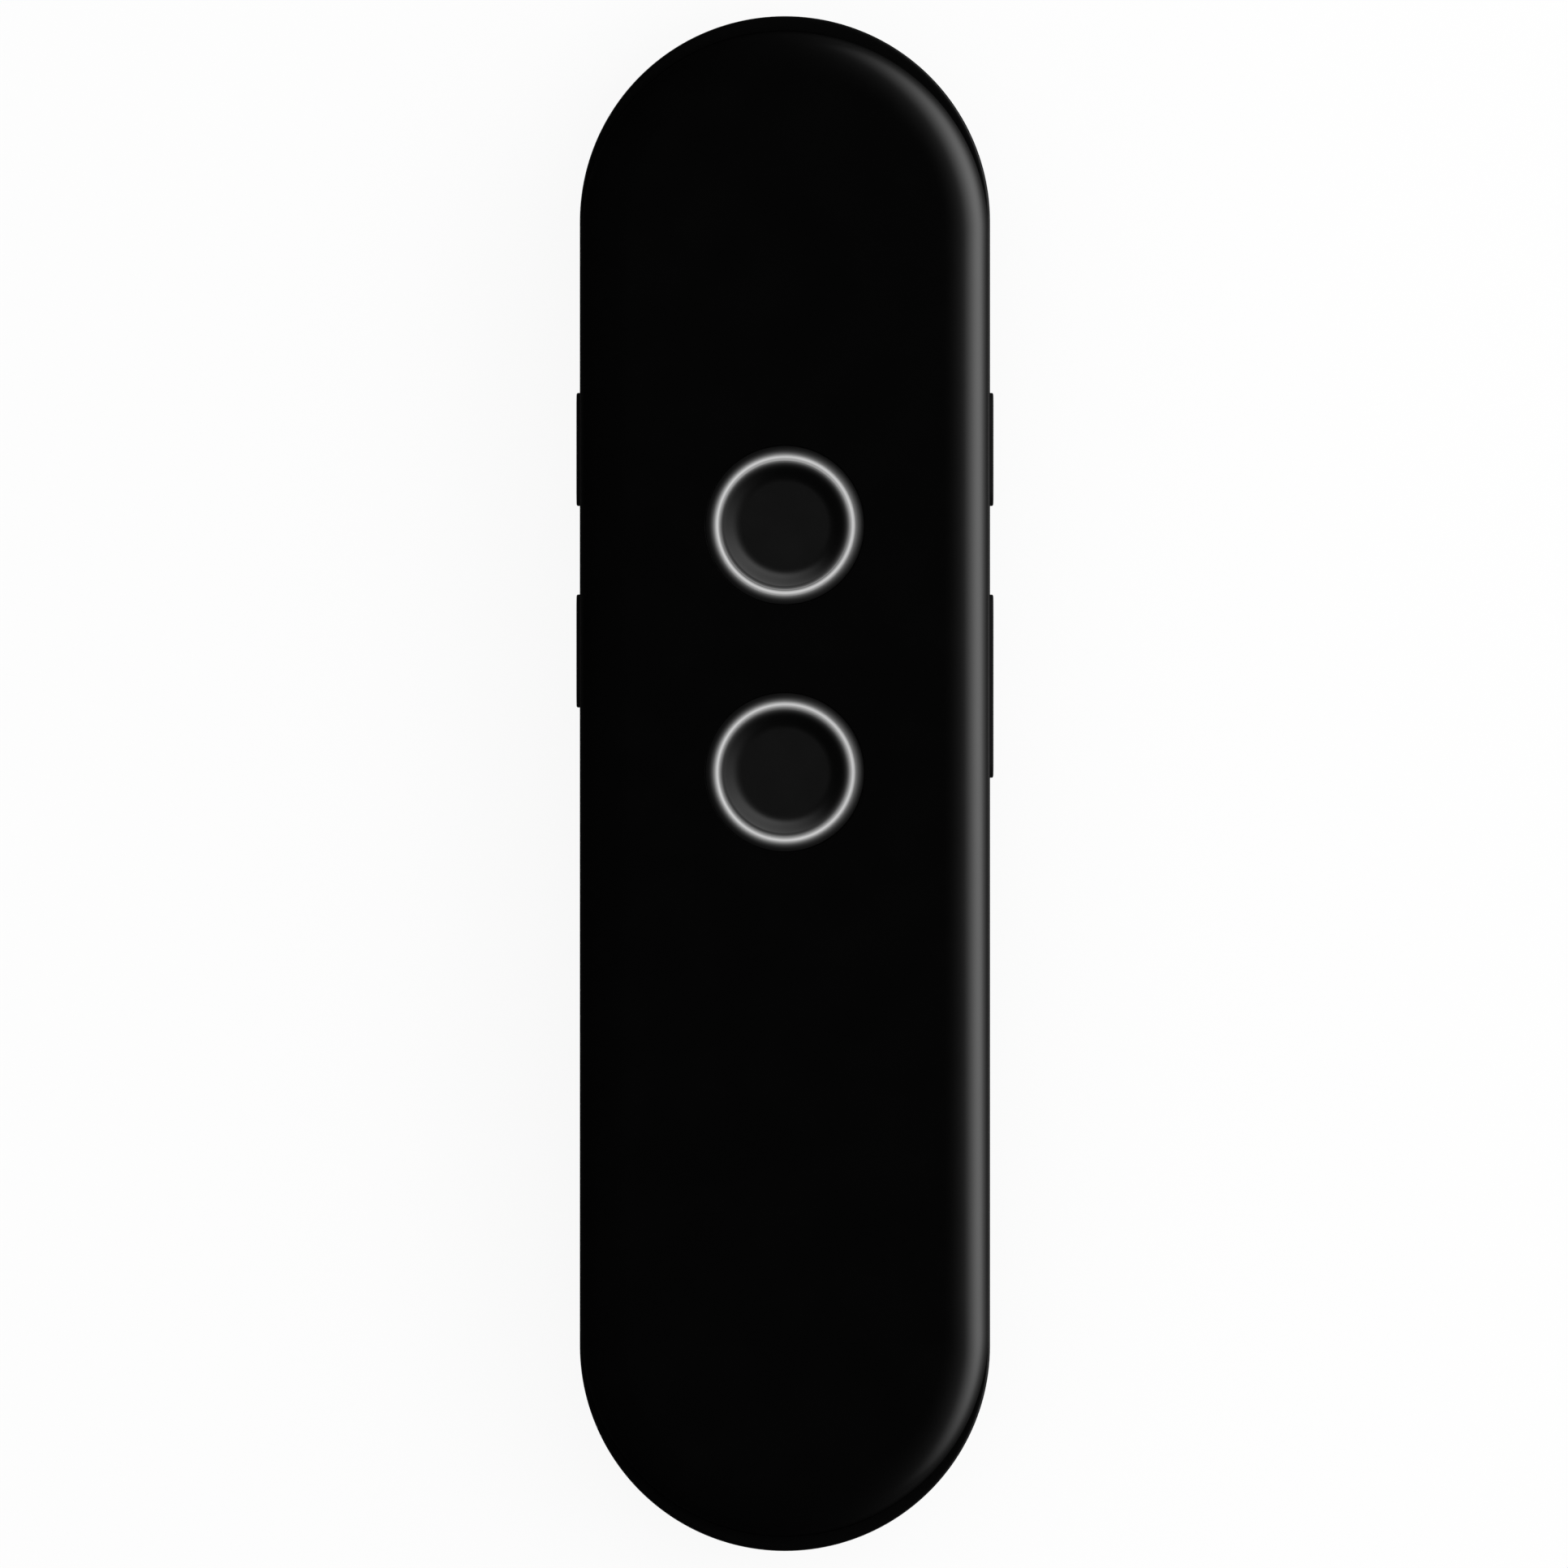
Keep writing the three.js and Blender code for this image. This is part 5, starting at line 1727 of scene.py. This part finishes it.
class Pattern:
    """A geometry node tree that is applied to a mesh, with named inputs for its sizes."""

    KINDS = {float: "NodeSocketFloat", int: "NodeSocketInt", tuple: "NodeSocketVector"}

    def __init__(
        self, name: str, material: bpy.types.Material, **sizes: float | int | tuple
    ) -> None:
        """Starts the tree.

        Args:
            name: The tree's name.
            material: The material of all that the tree makes.
            sizes: The named inputs with their values.
        """
        self.tree = bpy.data.node_groups.new(name, "GeometryNodeTree")
        face = self.tree.interface
        for way in ("INPUT", "OUTPUT"):
            face.new_socket(name="Geometry", in_out=way, socket_type="NodeSocketGeometry")
        self.keys = {}
        for label, size in sizes.items():
            socket = face.new_socket(name=label, in_out="INPUT", socket_type=self.KINDS[type(size)])
            self.keys[socket.identifier] = size
        self.shader = Shader(self.tree)
        self.start = self.shader.node("NodeGroupInput")
        self.material = material

    @property
    def given(self) -> Socket:
        """The mesh that the tree starts from."""
        return self.start.outputs["Geometry"]

    def size(self, label: str) -> Value:
        """One of the named inputs."""
        return Value(self.shader, self.start.outputs[label])

    def add(self, kind: str, **inputs: Any) -> Socket:
        """Adds a node, its inputs given by name with _ for a space, and gives its first output."""
        named = {key.replace("_", " "): given for key, given in inputs.items()}
        return self.shader.node(kind, named).outputs[0]

    def row(self, count: Value, y: Value, z: Value | float = 0.0) -> Socket:
        """Points along X, about the middle and the input "pitch" apart.

        Args:
            count: How many points there are.
            y: Their place on Y.
            z: Their level.

        Returns:
            The points.
        """
        pitch = self.size("pitch")
        start = self.add("ShaderNodeCombineXYZ", X=(count - 1) * pitch * -0.5, Y=y, Z=z)
        step = self.add("ShaderNodeCombineXYZ", X=pitch)
        return self.add("GeometryNodeMeshLine", Count=count, Start_Location=start, Offset=step)

    def copies(self, instance: Socket, *points: Socket) -> Socket:
        """Puts a copy of a geometry on each point.

        Args:
            instance: The geometry.
            points: The meshes whose points take a copy.

        Returns:
            The copies, as instances.
        """
        join = self.shader.node("GeometryNodeJoinGeometry")
        for part in points:
            self.tree.links.new(part, join.inputs[0])
        return self.add("GeometryNodeInstanceOnPoints", Points=join.outputs[0], Instance=instance)

    def applied(self, made: Socket, mesh: bpy.types.Mesh) -> bpy.types.Mesh:
        """Ends the tree and applies it.

        Args:
            made: The tree's last geometry.
            mesh: The mesh that the tree starts from, in metres.

        Returns:
            The plain mesh that comes out.
        """
        real = self.add("GeometryNodeRealizeInstances", Geometry=made)
        dressed = self.add("GeometryNodeSetMaterial", Geometry=real, Material=self.material)
        self.shader.node("NodeGroupOutput", {"Geometry": dressed})
        host = linked("pattern", mesh)
        modifier = host.modifiers.new("pattern", "NODES")
        modifier.node_group = self.tree
        for key, given in self.keys.items():
            modifier[key] = given
        result = evaluated(host)
        host.modifiers.remove(modifier)
        bpy.data.objects.remove(host)
        return result


@dataclass
class Speaker:
    """The speaker behind its perforated grille, with its cloth, gasket and leads."""

    env: Envelope
    face: Point = (17.84, 6.84)
    flange: float = 9.0
    recess: float = 0.25
    face_round: float = 0.12
    flat_band: float = 0.3
    shoulder: float = 1.3
    top: float = 1.65
    hole_radius: float = 0.6
    hole_facets: int = 28
    pitch: float = 2.0
    counts: tuple[int, int] = (7, 6)

    def build(self, dresser: Dresser) -> None:
        """Makes the grille and dresses the rest.

        Args:
            dresser: What makes the pieces and dresses the nodes.
        """
        grille = self._perforated(self._plate().in_metres(), dresser.material(Slot.DARK_STEEL))
        dresser.piece("perforated_grille", grille, Slot.DARK_STEEL, ["speaker_grille"])
        dresser.dress(Slot.DARK_STEEL, "speaker")
        dresser.dress(Slot.FOAM, "speaker_gasket", "speaker_mesh")
        dresser.dress(Slot.RED_WIRE, "speaker_lead_red")
        dresser.dress(Slot.BLACK_WIRE, "speaker_lead_black")

    def _plate(self) -> Solid:
        """The round-ended plate with its flange, before it is drilled.

        Returns:
            The plate.
        """
        (long, wide), round_ = self.face, self.face_round
        radius, out = wide / 2, self.flange / 2
        edge = arc((radius - round_, self.recess + round_), (round_, round_), -90, 0, steps=4)
        flange = [(radius, self.shoulder), (out, self.shoulder), (out, self.top)]
        profile = [(radius - self.flat_band, self.recess), *edge, *flange]
        plate = stadium(profile, (long - wide) / 2, self.env.speaker_facets)
        return plate.placed(ACROSS).moved(y=self.env.speaker_y)

    def _perforated(self, plate: bpy.types.Mesh, steel: bpy.types.Material) -> bpy.types.Mesh:
        """Drills the plate in three staggered rows.

        Args:
            plate: The plate, in metres.
            steel: Its material.

        Returns:
            The drilled plate.
        """
        tree = Pattern(
            "perforation",
            steel,
            pitch=self.pitch * MM,
            hole_radius=self.hole_radius * MM,
            depth=4 * self.top * MM,
            middle_row=self.counts[0],
            outer_row=self.counts[1],
            row_y=self.env.speaker_y * MM,
        )
        rows = []
        for shift, label in ((-1, "outer_row"), (0, "middle_row"), (1, "outer_row")):
            y = tree.size("pitch") * (shift * math.sqrt(3) / 2) + tree.size("row_y")
            rows.append(tree.row(tree.size(label), y))
        sizes = {"Radius": tree.size("hole_radius"), "Depth": tree.size("depth")}
        drill = tree.add("GeometryNodeMeshCylinder", Vertices=self.hole_facets, **sizes)
        holes = tree.add("GeometryNodeRealizeInstances", Geometry=tree.copies(drill, *rows))
        exact = {"operation": "DIFFERENCE", "solver": "EXACT"}
        cut = tree.shader.node("GeometryNodeMeshBoolean", {0: tree.given, 1: holes}, **exact)
        return tree.applied(cut.outputs[0], plate)


@dataclass
class Fasteners:
    """The eight pan-head screws with cross recesses, which hold the frame and the board."""

    env: Envelope
    head: Point = (1.6, 0.9)
    crown: Point = (0.45, 0.6)
    shank: Point = (0.8, 3.6)
    tip: float = 0.5
    recess: Triple = (1.8, 0.4, 0.4)
    thread_pitch: float = 0.6
    thread_depth: float = 0.12

    def build(self, dresser: Dresser) -> None:
        """Makes all eight as one piece.

        Args:
            dresser: What makes the pieces and dresses the nodes.
        """
        env = self.env
        (bx, by_top), (_, by_low) = env.board_screws
        tree = Pattern(
            "screw_places",
            dresser.material(Slot.PLATED),
            frame_width=2 * env.frame_screw[0] * MM,
            frame_length=2 * env.frame_screw[1] * MM,
            board_width=2 * bx * MM,
            board_length=(by_top - by_low) * MM,
            board_middle=(0.0, (by_top + by_low) / 2 * MM, 0.0),
            seat=(0.0, 0.0, env.board_top * MM),
        )
        grids = []
        for label in ("frame", "board"):
            sizes = {"Size_X": tree.size(f"{label}_width"), "Size_Y": tree.size(f"{label}_length")}
            grids.append(tree.add("GeometryNodeMeshGrid", **sizes, Vertices_X=2, Vertices_Y=2))
        middle = tree.size("board_middle")
        grids[1] = tree.add("GeometryNodeTransform", Geometry=grids[1], Translation=middle)
        placed = tree.copies(tree.given, *grids)
        seated = tree.add("GeometryNodeTransform", Geometry=placed, Translation=tree.size("seat"))
        mesh = tree.applied(seated, self._screw().in_metres())
        nodes = [f"{kind}_screw_{i}" for kind in ("frame", "board") for i in range(1, 5)]
        dresser.piece("housing_screws", mesh, Slot.PLATED, nodes)

    def _screw(self) -> Solid:
        """One screw, with its head's seat at level zero.

        Returns:
            The screw.
        """
        (head, tall), (radius, length), (across, up) = self.head, self.shank, self.crown
        thread: list[Point] = []
        level = -length + self.tip
        while level < -self.thread_pitch:
            thread += [(radius, level), (radius - self.thread_depth, level + self.thread_pitch / 2)]
            level += self.thread_pitch
        centre = (head * (1 - across), tall * (1 - up))
        crown = arc(centre, (head * across, tall * up), 0, 90, steps=6)
        shank = [(radius / 3, -length), *thread, (radius, level), (radius, 0)]
        body = lathe([*shank, (head, 0), *crown], steps=16)
        long, wide, deep = (size / 2 for size in self.recess)
        low, high = tall - 2 * deep, tall + 2 * self.env.overrun
        bars = [block((-x, -y, low), (x, y, high)) for x, y in ((long, wide), (wide, long))]
        return body.cut(*bars)


@dataclass
class ChargingPort:
    """The charging port in the bottom end: a drawn shell round a tongue with its contacts."""

    env: Envelope
    width: float = 7.5
    height: float = 2.8
    slant: float = 0.9
    corner: float = 0.25
    least_corner: float = 0.08
    sheet: float = 0.3
    recess: float = 0.5
    depth: float = 5.6
    base_depth: float = 1.3
    rim_round: Point = (0.05, 0.06)
    mouth_break: float = 0.1
    wing: Triple = (5.15, 2.0, 0.25)
    tongue: Triple = (3.6, 0.6, 3.4)
    tongue_corner: float = 0.12
    tongue_tip: Triple = (0.3, 0.26, 0.35)
    contacts: int = 5
    contact: Triple = (0.36, 2.6, 0.06)
    contact_pitch: float = 0.65
    contact_root: float = 0.1

    def outline(self, inset: float) -> list[Point]:
        """The shell's outline, drawn in X and Z, moved in by an inset.

        Args:
            inset: How far in, or out where it is below zero.

        Returns:
            The outline's points.
        """
        half, tall, slant = self.width / 2 - inset, self.height / 2 - inset, self.slant
        left = [(-half, tall), (-half, slant - tall), (slant - half, -tall)]
        right = [(half - slant, -tall), (half, slant - tall), (half, tall)]
        return rounded([*left, *right], max(self.least_corner, self.corner - inset / 2))

    def build(self, dresser: Dresser) -> None:
        """Makes the shell, the tongue and its contacts.

        Args:
            dresser: What makes the pieces and dresses the nodes.
        """
        dresser.piece("port_drawn_shell", self._shell(), Slot.PLATED, ["port_shell"])
        dresser.piece("port_tongue", self._core(), Slot.CHIP, ["port_core"])
        dresser.piece("port_contacts", self._contacts(dresser.material(Slot.PLATED)), Slot.PLATED)

    @property
    def _face(self) -> float:
        """How far the shell's mouth is from the middle of the housing."""
        return self.env.length / 2 - self.recess

    @property
    def _back(self) -> float:
        """How far the shell's back is from the middle of the housing."""
        return self._face - self.depth

    def _stood(self, solid: Solid) -> Solid:
        """A shape that was raised on Z, laid along the port's axis."""
        return solid.placed(ALONG_MINUS_Y).moved(z=self.env.middle)

    def _shell(self) -> Solid:
        """The shell, with the inside of its mouth flared, and its side wings on the board.

        Returns:
            The shell.
        """
        face, back, give, (turn, edge) = self._face, self._back, self.mouth_break, self.rim_round
        outer, rim = self.outline(0), self.outline(turn)
        outside = loft((outer, back), (outer, face - edge), (rim, face))
        hole, wide = self.outline(self.sheet), self.outline(self.sheet - give)
        start, end = back - 2 * self.env.overrun, face + 2 * self.env.overrun
        inside = loft((hole, start), (hole, face - 2 * give), (wide, face), (wide, end))
        (reach, long, thick), low = self.wing, self.env.board_top
        y = -back - long
        wings = block((-reach, y - long / 2, low), (reach, y + long / 2, low + thick))
        return self._stood(outside).join(wings).cut(self._stood(inside))

    def _core(self) -> Solid:
        """The moulded base, and the tongue with a chamfered tip.

        Returns:
            The base with the tongue.
        """
        back, (wide, thick, long), corner = self._back, self.tongue, self.tongue_corner
        base = prism(self.outline(self.sheet + self.env.fit / 2), back, back + self.base_depth)
        narrower, thinner, taper = self.tongue_tip
        front = back + self.base_depth + long
        whole = oblong(wide, thick, corner)
        tip = oblong(wide - narrower, thick - thinner, corner / 2)
        tongue = loft((whole, back + self.base_depth / 2), (whole, front - taper), (tip, front))
        return self._stood(base.join(tongue))

    def _contacts(self, plated: bpy.types.Material) -> bpy.types.Mesh:
        """The row of contact strips under the tongue.

        Args:
            plated: The strips' material.

        Returns:
            The strips, in metres.
        """
        _, long, thick = self.contact
        tree = Pattern(
            "contact_row",
            plated,
            count=self.contacts,
            pitch=self.contact_pitch * MM,
            strip=tuple(size * MM for size in self.contact),
            row_y=-(self._back + self.base_depth + long / 2 - self.contact_root) * MM,
            row_z=(self.env.middle - self.tongue[1] / 2 - thick / 4) * MM,
        )
        verts = {"Vertices_X": 2, "Vertices_Y": 4, "Vertices_Z": 2}
        strip = tree.add("GeometryNodeMeshCube", Size=tree.size("strip"), **verts)
        row = tree.row(tree.size("count"), tree.size("row_y"), tree.size("row_z"))
        seed = block((0, 0, 0), self.contact)
        return tree.applied(tree.copies(strip, row), seed.in_metres())


@dataclass
class Electronics:
    """The board and the parts on it, the battery and the microphone, which keep their shapes."""

    nodes: tuple[tuple[Slot, tuple[str, ...]], ...] = (
        (Slot.BOARD, ("main_board",)),
        (Slot.FOIL, ("battery", "microphone")),
        (Slot.FILM, ("battery_tape", "battery_socket")),
        (Slot.CHIP, ("battery_plug", "processor_chip")),
        (Slot.RED_WIRE, ("battery_lead_red",)),
        (Slot.BLACK_WIRE, ("battery_lead_black",)),
        (Slot.RUBBER, ("microphone_boot",)),
        (Slot.NYLON, ("antenna",)),
        (Slot.PLATED, ("wireless_shield",)),
    )

    def build(self, dresser: Dresser) -> None:
        """Dresses the nodes."""
        for slot, names in self.nodes:
            dresser.dress(slot, *names)


# Studio


@dataclass
class Softbox:
    """A soft rectangular lamp that faces the object, and that fades towards its edges.

    Its size and its distance are in metres, and its azimuth and elevation are in degrees. The fades
    are the shares of the width and of the height over which the light falls to 0.6.
    """

    name: str
    azimuth: float
    elevation: float
    radiance: float
    size: Point
    fades: Point
    distance: float = 0.6
    linked_to: tuple[str, ...] = ()
    flagged_from: tuple[str, ...] = ()

    def build(self) -> None:
        """Makes the lamp, and links it to the pieces that it lights or is flagged from."""
        width, height = self.size
        lamp = bpy.data.lights.new(self.name, "AREA")
        lamp.shape, lamp.size, lamp.size_y = "RECTANGLE", width, height
        lamp.energy = self.radiance * math.pi * width * height
        shader = Shader(lamp)
        across, up, _ = shader.parts(shader.node("ShaderNodeNewGeometry").outputs["Parametric"])
        spread = ((across - 0.5) / self.fades[0]) ** 2.0 + ((up - 0.5) / self.fades[1]) ** 2.0
        glow = shader.node("ShaderNodeEmission", {"Strength": (spread * -0.5).math("EXPONENT")})
        shader.end(glow, "Light")
        made = linked(self.name, lamp)
        turn, rise = math.radians(self.azimuth), math.radians(self.elevation)
        flat = math.cos(rise)
        out = Vector((math.cos(turn) * flat, math.sin(turn) * flat, math.sin(rise)))
        made.location = out * self.distance
        made.rotation_euler = out.to_track_quat("Z", "Y").to_euler()
        if self.linked_to or self.flagged_from:
            self._link(made)

    def _link(self, lamp: bpy.types.Object) -> None:
        """Lets the lamp light only the pieces that it is linked to, or all but the flagged ones.

        Args:
            lamp: The lamp's object.
        """
        receivers = bpy.data.collections.new(f"{self.name}_receivers")
        for name in self.linked_to or self.flagged_from:
            receivers.objects.link(bpy.data.objects[name])
        for member in receivers.collection_objects:
            member.light_linking.link_state = "INCLUDE" if self.linked_to else "EXCLUDE"
        lamp.light_linking.receiver_collection = receivers


@dataclass
class Studio:
    """The camera, the pale floor, the backdrop and the lamps.

    The table's size is in metres, and its gap under the object and its fade are in millimetres.
    """

    env: Envelope
    lens: float = 250.0
    sensor: float = 36.0
    clip: Point = (0.01, 20.0)
    pixels_per_mm: float = 13.28
    centre: Point = (967.15, 965.5)
    table_size: float = 6.0
    table_gap: float = 0.02
    table_white: float = 0.92
    table_lift: float = 0.9
    table_fade: float = 40.0
    table_rise: float = 1.5
    paper_scale: float = 12.0
    paper_edge: Point = (0.3, 0.7)
    paper_mark: float = 0.98
    daylight: float = 0.72
    backdrop_white: float = 1.1
    flag_black: float = 0.008
    flag_edge: float = 4.5
    top_flag: float = 1.1
    lit_azimuth: float = 12.0
    horizon: float = -0.02
    below: Triple = (0.5, -0.3, -0.6)
    below_range: tuple[float, float, float, float] = (-0.4, 1.1, 0.15, 1.1)

    def build(self) -> None:
        """Makes the studio round the finished object.

        The main lamp is flagged from the dished keys, and the second one lights nothing else.
        """
        bpy.context.scene.view_settings.view_transform = "Standard"
        self._camera()
        self._world()
        self._table()
        caps = tuple(f"{name}_key_cap" for name, _ in self.env.talk_keys)
        main = Softbox(
            name="main_softbox",
            azimuth=12.0,
            elevation=29.5,
            radiance=2.75,
            size=(1.8, 0.62),
            fades=(0.21, 0.25),
            flagged_from=caps,
        )
        keys = Softbox(
            name="key_softbox",
            azimuth=72.0,
            elevation=38.0,
            radiance=1.85,
            size=(1.5, 0.5),
            fades=(0.23, 0.25),
            linked_to=caps,
        )
        for lamp in (main, keys):
            lamp.build()
            LOG.info("%s at %.1f, %.1f degrees", lamp.name, lamp.azimuth, lamp.elevation)

    def _camera(self) -> None:
        """Puts the camera straight above, at the photograph's scale."""
        camera = bpy.data.cameras.new("camera")
        camera.lens, camera.sensor_width = self.lens, self.sensor
        camera.clip_start, camera.clip_end = self.clip
        made = linked("camera", camera)
        away = self.lens / self.sensor * IMAGE_SIZE / self.pixels_per_mm
        x = (IMAGE_SIZE / 2 - self.centre[0]) / self.pixels_per_mm
        y = (self.centre[1] - IMAGE_SIZE / 2) / self.pixels_per_mm
        made.location = Vector((x, y, self.env.middle + away)) * MM
        bpy.context.scene.camera = made

    def _world(self) -> None:
        """A white backdrop. What gloss sees of it is flagged off above and to the left.

        Under the table gloss sees it lit from below on the right, for views of the back.
        """
        world = bpy.data.worlds.new("backdrop")
        bpy.context.scene.world = world
        shader = Shader(world)
        x, y, z = shader.parts(shader.node("ShaderNodeTexCoord").outputs["Generated"])
        lower = 1.0 - z * z
        falling = lower**self.top_flag * self.backdrop_white
        above = self._lit_side(x, y, lower.math("SQRT")) * falling + self.flag_black
        _, seen, glossy = shader.rays()
        facing = x * self.below[0] + y * self.below[1] + z * self.below[2]
        under = z.math("LESS_THAN", self.horizon)
        shown = above * (1 - under) + facing.between(*self.below_range) * under
        level = seen + (1 - seen) * (glossy * shown + (1 - glossy) * self.daylight)
        sky = shader.node("ShaderNodeBackground", {"Color": rgba(grey(1)), "Strength": level})
        shader.end(sky, "World")

    def _lit_side(self, x: Value, y: Value, length: Value) -> Value:
        """How much of the backdrop a direction shows, from 1 on its lit side to 0 behind the flags.

        Args:
            x: The direction's part along X.
            y: Its part along Y.
            length: Its length in the plane of the table.

        Returns:
            The share.
        """
        around = math.radians(self.lit_azimuth)
        facing = (x * math.cos(around) + y * math.sin(around)) / length.math("MAXIMUM", TINY)
        return ((facing - 1.0) * self.flag_edge).math("EXPONENT")

    def _table_masks(self, shader: Shader) -> tuple[Value, Value]:
        """Works out two masks of the table from the distance to the object's outline.

        Args:
            shader: The table's shader.

        Returns:
            What gloss sees of the white table, which is less close to the object and nothing behind
            the flags, and where the object stands on it.
        """
        x, y, _ = shader.parts(shader.scaled((1 / MM, 1 / MM, 0)))
        past = (y.math("ABSOLUTE") - self.env.core).math("MAXIMUM", 0.0) * y.math("SIGN")
        length = (x * x + past * past).math("SQRT")
        out = (length - self.env.radius).math("MAXIMUM", 0.0) / self.table_fade
        # Painted shade: gloss sees the table darker close to the object
        clear_of_painted_shade = (1.0 - (out * -1.0).math("EXPONENT")) ** self.table_rise
        glow = clear_of_painted_shade * self._lit_side(x, past, length) * self.backdrop_white + self.flag_black
        return glow, length.math("LESS_THAN", self.env.radius)

    def _table(self) -> None:
        """A plain white table that keeps the shadow.

        It is see-through from below, and under the object it lets light from below through to the
        back.
        """
        half = self.table_size / 2
        mesh = bpy.data.meshes.new("table")
        corners = [(-half, -half, 0), (half, -half, 0), (half, half, 0), (-half, half, 0)]
        mesh.from_pydata(corners, [], [(0, 1, 2, 3)])
        table = linked("table", mesh)
        table.location.z = -self.table_gap * MM
        table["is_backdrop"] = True
        material = bpy.data.materials.new("table_white")
        mesh.materials.append(material)
        shader = Shader(material)
        paper = shader.noise(self.paper_scale, detail=4.0).between(*self.paper_edge)
        white, mark = grey(self.table_white), grey(self.table_white * self.paper_mark)
        matt = shader.node("ShaderNodeBsdfDiffuse", {"Color": shader.mix(paper, white, mark)})
        camera, seen, glossy = shader.rays()
        plain = shader.blend(seen * self.table_lift, matt, shader.node("ShaderNodeEmission"))
        glow, stand = self._table_masks(shader)
        # What gloss sees is an emission, with painted shade near the object
        shown = shader.blend(glossy, plain, shader.node("ShaderNodeEmission", {"Strength": glow}))
        behind = shader.value("ShaderNodeNewGeometry", output="Backfacing")
        gone = behind.math("MAXIMUM", stand * (1 - camera))
        shader.end(shader.blend(gone, shown, shader.node("ShaderNodeBsdfTransparent")))


def main() -> None:
    """Builds every part of the translator and the studio round it."""
    logging.basicConfig(level=logging.INFO, format="%(name)s: %(message)s")
    env, dresser = Envelope(), Dresser()
    port = ChargingPort(env)
    FrontCover(env).build(dresser)
    MidFrame(env).build(dresser, port)
    BackCover(env).build(dresser)
    for name, y in env.talk_keys:
        TalkKey(env, name, y).build(dresser)
    for place in env.push_keys:
        SideKey(env, place).build(dresser)
    Rocker(env, env.rocker).build(dresser)
    Speaker(env).build(dresser)
    Fasteners(env).build(dresser)
    port.build(dresser)
    Electronics().build(dresser)
    Studio(env).build()
    boxes = {"cad": CAD_BOX, "visual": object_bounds()}
    json.dumps({label: [list(corner) for corner in box] for label, box in boxes.items()})


if __name__ == "__main__":
    main()
